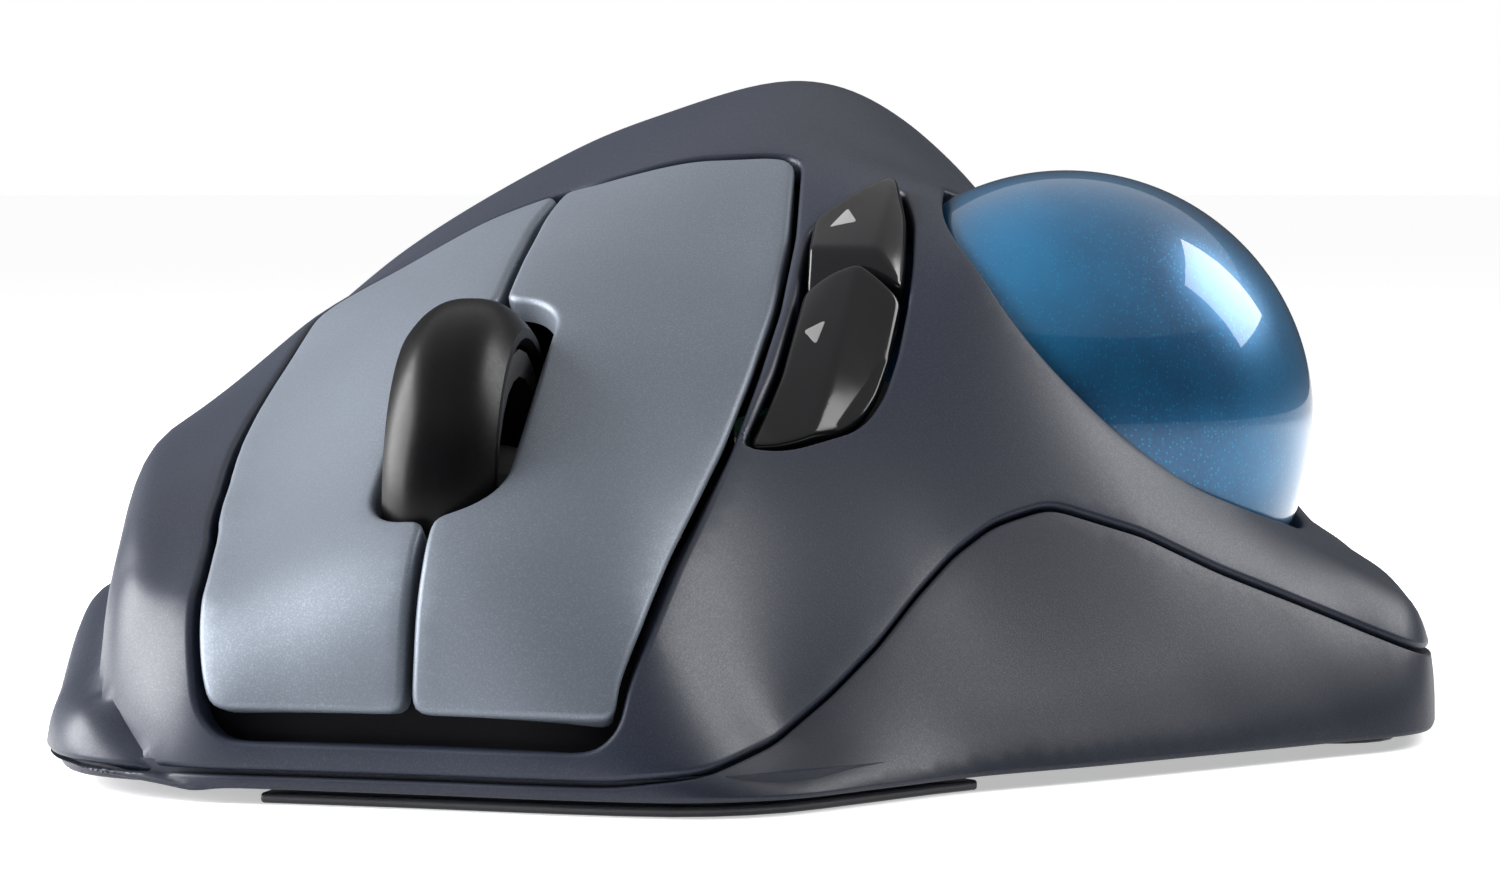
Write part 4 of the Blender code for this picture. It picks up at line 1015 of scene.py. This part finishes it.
    def solid(self, name: str, flat: Array, depth: Array, faces: Array,
              rim: Sequence[tuple[int, int]]) -> bpy.types.Object:
        """Return the closed panel: outer skin, inner skin and the walls between."""
        points, normals = self.lift(flat), self.normals(flat)
        lift = self.raised(flat) if self.raised else 0.0
        outer = points + normals * (lift - depth)[:, None]
        inner = points - normals * self.wall
        if normals[:, 2].max() > 0:
            inner[:, 2] = np.maximum(inner[:, 2], UNDERSIDE_Z + 0.2)
        if self.keep_clear:
            outer, inner = self.pushed_out(outer), self.pushed_out(inner)
        count = len(points)
        solid = [tuple(face) for face in faces]
        solid += [tuple(face[::-1] + count) for face in faces]
        solid += [(b, a, a + count, b + count) for a, b in rim]
        item = make_object(name, np.vstack([outer, inner]), solid)
        loose = bmesh.new()
        loose.from_mesh(item.data)
        bmesh.ops.delete(loose, geom=[v for v in loose.verts if not v.link_faces], context="VERTS")
        loose.to_mesh(item.data)
        loose.free()
        return smooth(item, 50.0)

    def pushed_out(self, points: Array) -> Array:
        """Return points moved clear of the ball."""
        centre = np.array(BALL_CENTRE)
        away = points - centre
        distance = np.linalg.norm(away, axis=1)
        near = np.maximum(distance, self.keep_clear) / np.maximum(distance, 1e-9)
        return centre + away * near[:, None]


def flat_panel(top: float, **sizes: float) -> Panel:
    """Return a panel whose skin is level, facing down, at a height."""
    def lift(flat: Array) -> Array:
        """Return the points below places seen from underneath."""
        return np.column_stack([flat[:, 0], -flat[:, 1], np.full(len(flat), top)])

    def normals(flat: Array) -> Array:
        """Return the downward normals."""
        return np.tile([0.0, 0.0, -1.0], (len(flat), 1))

    return Panel(lift, normals, **sizes)


def from_below(outline: Array) -> Array:
    """Return a plan outline as it is seen from underneath."""
    return np.array(outline)[::-1] * [1.0, -1.0]


def refined(node: str, name: str, bevel: float, degrees: float = 40.0) -> bpy.types.Object:
    """Return a copy of a frame node with its doubles merged and its edges rounded.

    Args:
        node: The frame node to copy.
        name: The new piece's name.
        bevel: The width of the rounding, in millimetres.
        degrees: The least angle between faces that is rounded.

    Returns:
        The new object.
    """
    item = bpy.data.objects.new(name, FRAME_NODES[node].data.copy())
    bpy.context.scene.collection.objects.link(item)
    work = bmesh.new()
    work.from_mesh(item.data)
    bmesh.ops.remove_doubles(work, verts=work.verts, dist=0.002 * MM)
    bmesh.ops.dissolve_limit(work, angle_limit=math.radians(1.0), verts=work.verts, edges=work.edges)
    work.to_mesh(item.data)
    work.free()
    apply_modifier(item, "BEVEL", {"width": bevel * MM, "segments": 3, "limit_method": "ANGLE",
                                   "angle_limit": math.radians(degrees)})
    return smooth(item, 35.0)


def turned(name: str, profile: Sequence[Point], centre: Point, steps: int) -> bpy.types.Object:
    """Return a shape turned about an axis along X through a centre.

    Args:
        name: The piece's name.
        profile: Its closed ring of (distance along the axis, radius) points.
        centre: The middle, in millimetres.
        steps: The number of steps round.

    Returns:
        The new object.
    """
    edges = [(i, (i + 1) % len(profile)) for i in range(len(profile))]
    mesh = bpy.data.meshes.new(name)
    mesh.from_pydata([(x * MM, 0.0, radius * MM) for x, radius in profile], edges, [])
    item = bpy.data.objects.new(name, mesh)
    bpy.context.scene.collection.objects.link(item)
    choose(item)
    bpy.ops.object.mode_set(mode="EDIT")
    bpy.ops.mesh.select_all(action="SELECT")
    bpy.ops.mesh.spin(steps=steps, angle=2 * math.pi, center=(0, 0, 0), axis=(1, 0, 0))
    bpy.ops.mesh.select_all(action="SELECT")
    bpy.ops.mesh.remove_doubles(threshold=0.001 * MM)
    bpy.ops.mesh.normals_make_consistent(inside=False)
    bpy.ops.object.mode_set(mode="OBJECT")
    item.location = Vector(centre) * MM
    return smooth(settle(item), 35.0)


def deliver(item: bpy.types.Object, body: str, slot: str, finish: Finish,
            *nodes: str) -> bpy.types.Object:
    """Dress a finished piece, attach it to what it rides on, and hide the frame nodes it stands for.
    """
    dress(item, finish)
    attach(item, body)
    if nodes:
        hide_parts(*nodes)
    LOG.info("%s: %d faces on %s", item.name, len(item.data.polygons), body)
    return item


# ---------------------------------------------------------------- shells and keys

@dataclass
class Housing:
    """The two shells and the liner behind the keys."""

    skin: FlatMap
    edge_radius: float = 0.4
    liner_depth: float = 2.7

    def panel(self, **sizes: float) -> Panel:
        """Return a panel on the body's skin."""
        return Panel(self.skin.lift, self.skin.normals, **sizes)

    def seam(self, lift: float) -> Array:
        """Return the seam line round the whole body, lifted by an amount."""
        profile = np.array(SEAM_PROFILE)

        def height(x: Array, y: Array) -> Array:
            """Return the seam's height over the plan."""
            front = np.interp(x, profile[:, 0], profile[:, 1])
            side = np.interp(x, [0.0, 36.0, 44.0], [SEAM_REAR_Z, SEAM_REAR_Z, 5.4])
            share = ease((y - SEAM_FRONT_ENDS_Y) / (SEAM_SIDE_STARTS_Y - SEAM_FRONT_ENDS_Y))
            low = side * (1 - ease(y / 30.0)) + SEAM_REAR_Z * ease(y / 30.0)
            return front * (1 - share) + low * share + lift

        angles = np.linspace(-math.pi, math.pi, self.skin.ANGLES, endpoint=False)
        return self.skin.on_disc(angles, self.skin.crossings(height))

    def keys_hole(self) -> Array:
        """Return the outline of the opening that both keys sit in."""
        plan = self.skin.from_plan(KEYS_OUTLINE)
        wall = np.vstack([self.skin.front_wall([-26.4], 7.6), self.skin.front_wall([-25.9], 5.4),
                          self.skin.front_wall(np.linspace(-24.2, -0.9, 24), LIP_Z),
                          self.skin.front_wall([0.5], 5.2)])
        return np.vstack([plan, wall])

    def ball_hole(self) -> Array:
        """Return the outline of the opening round the ball."""
        centre = np.array(BALL_CENTRE)
        angles = np.linspace(0, 2 * math.pi, 240, endpoint=False)
        aim = np.stack([np.cos(angles), np.sin(angles)], axis=1)
        middle = centre[:2] + [2.5, 0.0]
        high = np.full(len(angles), 26.0)
        for reach in np.arange(6.0, 26.0, 0.5)[::-1]:
            places = middle + aim * reach
            away = np.column_stack([places, self.skin.form.height(places)]) - centre
            high = np.where(np.linalg.norm(away, axis=1) > COLLAR_RADIUS, reach, high)
        low = high - 0.5
        for _ in range(24):
            reach = (low + high) / 2
            places = middle + aim * reach[:, None]
            away = np.column_stack([places, self.skin.form.height(places)]) - centre
            far = np.linalg.norm(away, axis=1) > COLLAR_RADIUS
            high, low = np.where(far, reach, high), np.where(far, low, reach)
        return self.skin.from_plan(middle + aim * high[:, None])

    def build(self) -> None:
        """Build and dress the shells and the liner."""
        loops = [(self.seam(SEAM_GAP), 6), (self.keys_hole(), 8),
                 (self.skin.from_plan(POCKET_OUTLINE), 5), (self.ball_hole(), 1)]
        panel = self.panel(radius=self.edge_radius, spacing=1.0, keep_clear=COLLAR_RADIUS - 0.3)
        deliver(panel.build("top_shell_skin", loops), "housing", "shell", Finish.SHELL, "top_shell")
        self.build_base()
        self.build_liner()

    def build_base(self) -> None:
        """Build and dress the bottom shell: its low wall and its floor."""
        angles = np.linspace(-math.pi, math.pi, self.skin.ANGLES, endpoint=False)
        rim = self.skin.on_disc(angles, np.full(len(angles), 0.0004))
        wall = self.panel(radius=0.25, spacing=1.2).build(
            "bottom_shell_wall", [(rim, 0), (self.seam(0.0), 6)])
        edge = offset_outline(self.skin.form.edge[::8], -0.9)
        slot_x, slot_y = POWER_SLOT["centre"]
        wide, deep = POWER_SLOT["size"]
        holes = [rounded_rectangle((DOOR["x"][0] - SEAM_GAP, DOOR["x"][1] + SEAM_GAP),
                                   (DOOR["y"][0] - SEAM_GAP, DOOR["y"][1] + SEAM_GAP), 1.6),
                 rounded_rectangle((slot_x - wide / 2, slot_x + wide / 2),
                                   (slot_y - deep / 2, slot_y + deep / 2), 1.0),
                 circle(*BALL_CENTRE[:2], EJECT_HOLE_RADIUS)]
        holes += [circle(x, y, 2.3) for x, y in SCREW_PLACES]
        floor = flat_panel(UNDERSIDE_Z + 0.1, radius=0.25, wall=1.4, spacing=3.0, step=0.8)
        plate = floor.build("floor", [(from_below(edge), 0)]
                            + [(from_below(hole), 0) for hole in holes])
        piece = join("bottom_shell_skin", [wall, plate])
        deliver(piece, "housing", "base", Finish.BASE, "bottom_shell")

    def build_liner(self) -> None:
        """Build the inner wall that closes the recess below and between the keys; its near-black
        colour is painted shade for that recess.
        """
        depth = self.liner_depth
        xs = np.linspace(-27.6, 2.6, 24)
        plan = self.skin.from_plan([(3.2, -60.0), (-12.6, -66.5), (-27.6, -60.0)])
        loop = np.vstack([plan, self.skin.front_wall(xs, 2.6)])
        sunk = Panel(lambda flat: self.skin.lift(flat) - self.skin.normals(flat) * depth,
                     self.skin.normals, radius=0.1, wall=0.5, spacing=1.5, step=0.8)
        # the liner's near-black finish is painted shade for the recess behind the front lip
        deliver(sunk.build("keys_liner", [(loop, 2)]), "housing", "inner", Finish.LINER)


@dataclass
class Keys:
    """The two main keys, split by a slot and notched round the wheel."""

    skin: FlatMap
    edge_radius: float = 0.5
    corner_softening: int = 5
    notch_gap: float = 0.12

    def outline(self, thumb_side: bool) -> Array:
        """Return the outline of one key on the flat map."""
        side = 1.0 if thumb_side else -1.0
        slot = KEY_SLOT_X + side * KEY_SLOT_WIDTH / 2
        outer = offset_outline(KEYS_OUTLINE, -GAP, closed=False)
        outer = outer[(outer[:, 0] - KEY_SLOT_X) * side > 1.0]
        x_range, y_range = ((WHEEL_OPENING[axis][0] - self.notch_gap,
                             WHEEL_OPENING[axis][1] + self.notch_gap) for axis in "xy")
        notch = rounded_rectangle(x_range, y_range, WHEEL_OPENING["corner"])
        notch = notch[(notch[:, 0] - slot) * side > 0.0]
        notch = notch[np.argsort(notch[:, 1])]
        rear = [(slot, -17.1 - GAP)]
        cut = np.vstack([[(slot, -67.0)], [(slot, y_range[0] + 0.02)], notch,
                         [(slot, y_range[1] - 0.02)], rear])
        if thumb_side:
            front = np.vstack([self.skin.front_wall([slot], 9.0),
                               self.skin.front_wall(np.linspace(slot, 0.2, 14), KEY_FRONT_Z)])
            plan = np.vstack([outer, cut[::-1]])
            return np.vstack([self.skin.from_plan(plan), front])
        front = np.vstack([self.skin.front_wall([-25.9], 7.6),
                           self.skin.front_wall(np.linspace(-25.2, slot, 14), KEY_FRONT_Z),
                           self.skin.front_wall([slot], 9.0)])
        return np.vstack([self.skin.from_plan(np.vstack([cut, outer])), front])

    def build(self) -> None:
        """Build and dress both keys."""
        for thumb_side, side in ((True, "left"), (False, "right")):
            panel = Panel(self.skin.lift, self.skin.normals, radius=self.edge_radius, spacing=0.9)
            piece = panel.build(f"{side}_key_cap", [(self.outline(thumb_side), self.corner_softening)])
            deliver(piece, f"{side}_key", "key", Finish.KEY, f"{side}_button")


@dataclass
class SideButtons:
    """The two glossy buttons, each with raised facets and a plain triangle."""

    skin: FlatMap
    split_gap: float = 0.2
    marks: dict[str, list] = field(default_factory=lambda: {
        "forward": [(7.0, -38.4), (8.3, -37.4), (7.9, -39.4)],
        "back": [(7.6, -28.3), (9.4, -28.0), (8.6, -26.2)],
    })
    facets: dict[str, list] = field(default_factory=lambda: {
        # each facet: a place, the height there, and how it climbs along x and y
        "forward": [((10.0, -33.0), 1.35, 0.12, 0.10), ((10.0, -33.0), 1.35, -0.40, 0.16),
                    ((8.0, -38.6), 0.9, 0.35, 0.02)],
        "back": [((8.5, -27.5), 1.1, 0.02, -0.02), ((9.0, -31.4), 0.9, 0.10, 0.55),
                 ((12.2, -27.5), 0.5, -0.65, 0.0)],
    })

    def outline(self, rear: bool) -> Array:
        """Return the plan outline of one button."""
        outline = offset_outline(POCKET_OUTLINE, -GAP)
        dense = resample(outline, 0.2, lambda p: np.column_stack([p, np.zeros(len(p))]), 0)
        split = np.array(BUTTON_SPLIT)
        gap = dense[:, 1] - np.interp(dense[:, 0], split[:, 0], split[:, 1])
        side = 1.0 if rear else -1.0
        keep = dense[gap * side > self.split_gap]
        turn = int(np.argmax(np.linalg.norm(keep - np.roll(keep, 1, axis=0), axis=1)))
        keep = np.roll(keep, -turn, axis=0)
        inner = split[1:3] + [0.0, self.split_gap * side]
        if keep[-1][0] > keep[0][0]:
            inner = inner[::-1]
        return np.vstack([keep, inner])

    def height(self, kind: str) -> Callable[[Array], Array]:
        """Return the raised height of one button's facets over the flat map."""
        def raised(flat: Array) -> Array:
            """Return the lowest facet at each place, softly joined to the next."""
            plan = self.skin.lift(flat)[:, :2]
            result = None
            for (x, y), height, climb_x, climb_y in self.facets[kind]:
                facet = height + (plan[:, 0] - x) * climb_x + (plan[:, 1] - y) * climb_y
                result = facet if result is None else -smooth_max(-result, -facet, np.array(0.16))
            return np.maximum(result, -0.5)
        return raised

    def build(self) -> None:
        """Build and dress both buttons and their marks."""
        for kind in ("forward", "back"):
            raised = self.height(kind)
            panel = Panel(self.skin.lift, self.skin.normals, radius=0.35, spacing=0.35, step=0.25,
                          raised=raised, wall=1.4)
            outline = self.skin.from_plan(self.outline(kind == "back"))
            piece = panel.build(f"{kind}_button_cap", [(outline, 9)])
            deliver(piece, f"{kind}_key", "gloss_black", Finish.GLOSS, f"{kind}_button")
            mark = Panel(lambda flat, raised=raised: self.skin.lift(flat)
                         + self.skin.normals(flat) * (raised(flat) + 0.02)[:, None],
                         self.skin.normals, radius=0.01, wall=0.05, spacing=0.4, step=0.2)
            triangle = mark.build(f"{kind}_button_mark",
                                  [(self.skin.from_plan(self.marks[kind]), 1)])
            deliver(triangle, f"{kind}_key", "gloss_black", Finish.MARK)


# ---------------------------------------------------------------- wheel and ball

@dataclass
class Wheel:
    """The rubber tyre of the scroll wheel."""

    crown_drop: float = 1.9
    inner_radius: float = 9.6

    def build(self) -> None:
        """Build and dress the tyre."""
        half = WHEEL_WIDTH / 2
        profile = []
        for step in range(29):
            share = step / 14 - 1
            profile.append((-share * half * 0.995,
                            WHEEL_RADIUS - self.crown_drop * abs(share) ** 2.6))
        profile += [(-half, self.inner_radius + 0.4), (-half + 0.3, self.inner_radius),
                    (half - 0.3, self.inner_radius), (half, self.inner_radius + 0.4)]
        tyre = turned("scroll_tyre", profile, WHEEL_CENTRE, 128)
        deliver(tyre, "wheel", "rubber", Finish.RUBBER, "wheel_tyre")


@dataclass
class Trackball:
    """The ball."""

    cuts: int = 47

    def build(self) -> None:
        """Build the ball from a cube that is divided and rounded to a sphere."""
        bpy.ops.mesh.primitive_cube_add(size=2 * BALL_RADIUS * MM)
        item = bpy.context.active_object
        bpy.ops.object.mode_set(mode="EDIT")
        bpy.ops.mesh.select_all(action="SELECT")
        bpy.ops.mesh.subdivide(number_cuts=self.cuts)
        bpy.ops.object.mode_set(mode="OBJECT")
        places = np.array([vertex.co[:] for vertex in item.data.vertices])
        curved = np.tan(places / (BALL_RADIUS * MM) * math.pi / 4)
        curved *= BALL_RADIUS * MM / np.linalg.norm(curved, axis=1)[:, None]
        item.data.vertices.foreach_set("co", curved.ravel())
        item.location = Vector(BALL_CENTRE) * MM
        item.name = "blue_ball"
        deliver(smooth(settle(item), 60.0), "ball", "ball", Finish.BALL, "trackball")


# ---------------------------------------------------------------- underside and inside

@dataclass
class Underside:
    """The feet, the battery door and the power knob."""

    def build(self) -> None:
        """Build and dress the feet, the battery door and the power knob under the mouse."""
        for node in ("foot_front", "foot_thumb", "foot_rear_thumb", "foot_rear_pinky", "foot_pinky"):
            piece = refined(node, f"{node}_pad", 0.22)
            deliver(piece, "housing", "rubber", Finish.FOOT, node)
        door = refined("battery_door", "battery_door_panel", 0.2)
        deliver(door, "door", "base", Finish.BASE, "battery_door")
        knob = refined("power_switch_knob", "power_knob_cap", 0.25)
        deliver(knob, "power_knob", "gloss_black", Finish.GLOSS, "power_switch_knob")


@dataclass
class Inside:
    """Everything that the shells cover, dressed in its own finish."""

    finishes: dict[Finish, list[str]] = field(default_factory=lambda: {
        Finish.INNER: ["ball_socket", "wheel_carrier", "wheel_hub"],
        Finish.STEEL: ["wheel_axle", "contact_plate", "contact_spring", "screw_1", "screw_2",
                       "screw_3", "screw_4", "screw_5"],
        Finish.CERAMIC: ["bearing_ball_1", "bearing_ball_2", "bearing_ball_3"],
        Finish.CLEAR: ["sensor_lens"],
        Finish.CHIP: ["sensor_chip", "control_chip"],
        Finish.BOARD: ["sensor_board", "main_board", "front_board", "side_board"],
        Finish.SWITCH: ["switch_right", "switch_left", "switch_middle", "switch_forward",
                        "switch_back", "wheel_encoder", "power_switch_body", "receiver"],
        Finish.SLEEVE: ["battery"],
    })

    def build(self) -> None:
        """Dress the frame's own nodes."""
        for finish, nodes in self.finishes.items():
            for node in nodes:
                dress(FRAME_NODES[node], finish)


# ---------------------------------------------------------------- studio

@dataclass
class Studio:
    """Floor, lights, world and camera."""

    camera_place: Point = (48.62, -359.29, 37.32)
    camera_aim: Point = (-0.139, 0.9889, -0.0523)
    lens: float = 120.0
    lights: dict[str, tuple] = field(default_factory=lambda: {
        # place, where it points, width, height, power
        "left_softbox": ((-470.0, -60.0, 210.0), (-20.0, -30.0, 20.0), 460.0, 380.0, 9.5),
        "right_softbox": ((400.0, 170.0, 330.0), (20.0, -20.0, 20.0), 260.0, 260.0, 2.1),
    })
    sun_from: Point = (0.05, 0.10, 1.0)
    sun_power: float = 1.25
    sun_softness: float = 110.0
    dim_light: float = 0.05
    bright_light: float = 0.22
    floor_glow: float = 0.46
    floor_radius: float = 12000.0

    def build(self) -> None:
        """Build the studio."""
        self.build_floor()
        for name, (place, target, wide, high, power) in self.lights.items():
            data = bpy.data.lights.new(name, "AREA")
            data.shape, data.size, data.size_y = "RECTANGLE", wide * MM, high * MM
            data.energy = power
            light = bpy.data.objects.new(name, data)
            light.location = Vector(place) * MM
            aim = Vector(target) - Vector(place)
            light.rotation_euler = aim.to_track_quat("-Z", "Y").to_euler()
            bpy.context.scene.collection.objects.link(light)
        sun = bpy.data.lights.new("soft_sun", "SUN")
        sun.energy, sun.angle = self.sun_power, math.radians(self.sun_softness)
        item = bpy.data.objects.new("soft_sun", sun)
        item.rotation_euler = (-Vector(self.sun_from)).to_track_quat("-Z", "Y").to_euler()
        bpy.context.scene.collection.objects.link(item)
        self.build_world()
        data = bpy.data.cameras.new("camera")
        data.lens, data.sensor_width = self.lens, 36.0
        data.clip_start, data.clip_end = 0.01, 20.0
        camera = bpy.data.objects.new("camera", data)
        camera.location = Vector(self.camera_place) * MM
        camera.rotation_euler = Vector(self.camera_aim).to_track_quat("-Z", "Y").to_euler()
        bpy.context.scene.collection.objects.link(camera)
        bpy.context.scene.camera = camera
        bpy.context.scene.view_settings.view_transform = "Standard"

    def build_floor(self) -> None:
        """Build the pale floor."""
        bpy.ops.mesh.primitive_circle_add(vertices=96, radius=self.floor_radius * MM,
                                          fill_type="NGON", location=(0, 0, 0))
        floor = bpy.context.active_object
        floor.name = "studio_floor"
        graph = Graph("pale_floor")
        tone = graph.blend(graph.noise(60.0, 2.0), (0.93, 0.93, 0.93), (0.95, 0.95, 0.95))
        floor.data.materials.append(graph.shade({"Base Color": tone, "Roughness": 0.9,
                                                 "Specular IOR Level": 0.1,
                                                 "Emission Color": (1.0, 1.0, 1.0),
                                                 "Emission Strength": self.floor_glow}))

    def build_world(self) -> None:
        """Build the ambient light, dim at the horizon, and the white that shows behind."""
        world = bpy.data.worlds.new("studio_world")
        bpy.context.scene.world = world
        world.use_nodes = True
        nodes, links = world.node_tree.nodes, world.node_tree.links
        place = nodes.new("ShaderNodeTexCoord")
        parts = nodes.new("ShaderNodeSeparateXYZ")
        ramp = nodes.new("ShaderNodeValToRGB")
        ramp.color_ramp.elements[0].color = (*[self.dim_light] * 3, 1.0)
        ramp.color_ramp.elements[1].color = (*[self.bright_light] * 3, 1.0)
        path = nodes.new("ShaderNodeLightPath")
        seen = nodes.new("ShaderNodeMix")
        seen.data_type = "RGBA"
        seen.inputs[COLOUR_B].default_value = (1.0, 1.0, 1.0, 1.0)
        links.new(place.outputs["Generated"], parts.inputs["Vector"])
        links.new(parts.outputs["Z"], ramp.inputs["Fac"])
        links.new(path.outputs["Is Camera Ray"], seen.inputs[MIX_SHARE])
        links.new(ramp.outputs["Color"], seen.inputs[COLOUR_A])
        links.new(seen.outputs[MIXED_COLOUR], nodes["Background"].inputs["Color"])


def main() -> None:
    """Build the mouse around its frame, in order."""
    logging.basicConfig(level=logging.INFO, format="%(message)s")
    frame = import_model()
    FRAME_NODES.update(frame["nodes"])
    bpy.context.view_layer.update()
    Studio().build()
    skin = FlatMap(BodyForm())
    Housing(skin).build()
    Keys(skin).build()
    SideButtons(skin).build()
    Wheel().build()
    Trackball().build()
    Underside().build()
    Inside().build()


if __name__ == "__main__":
    main()
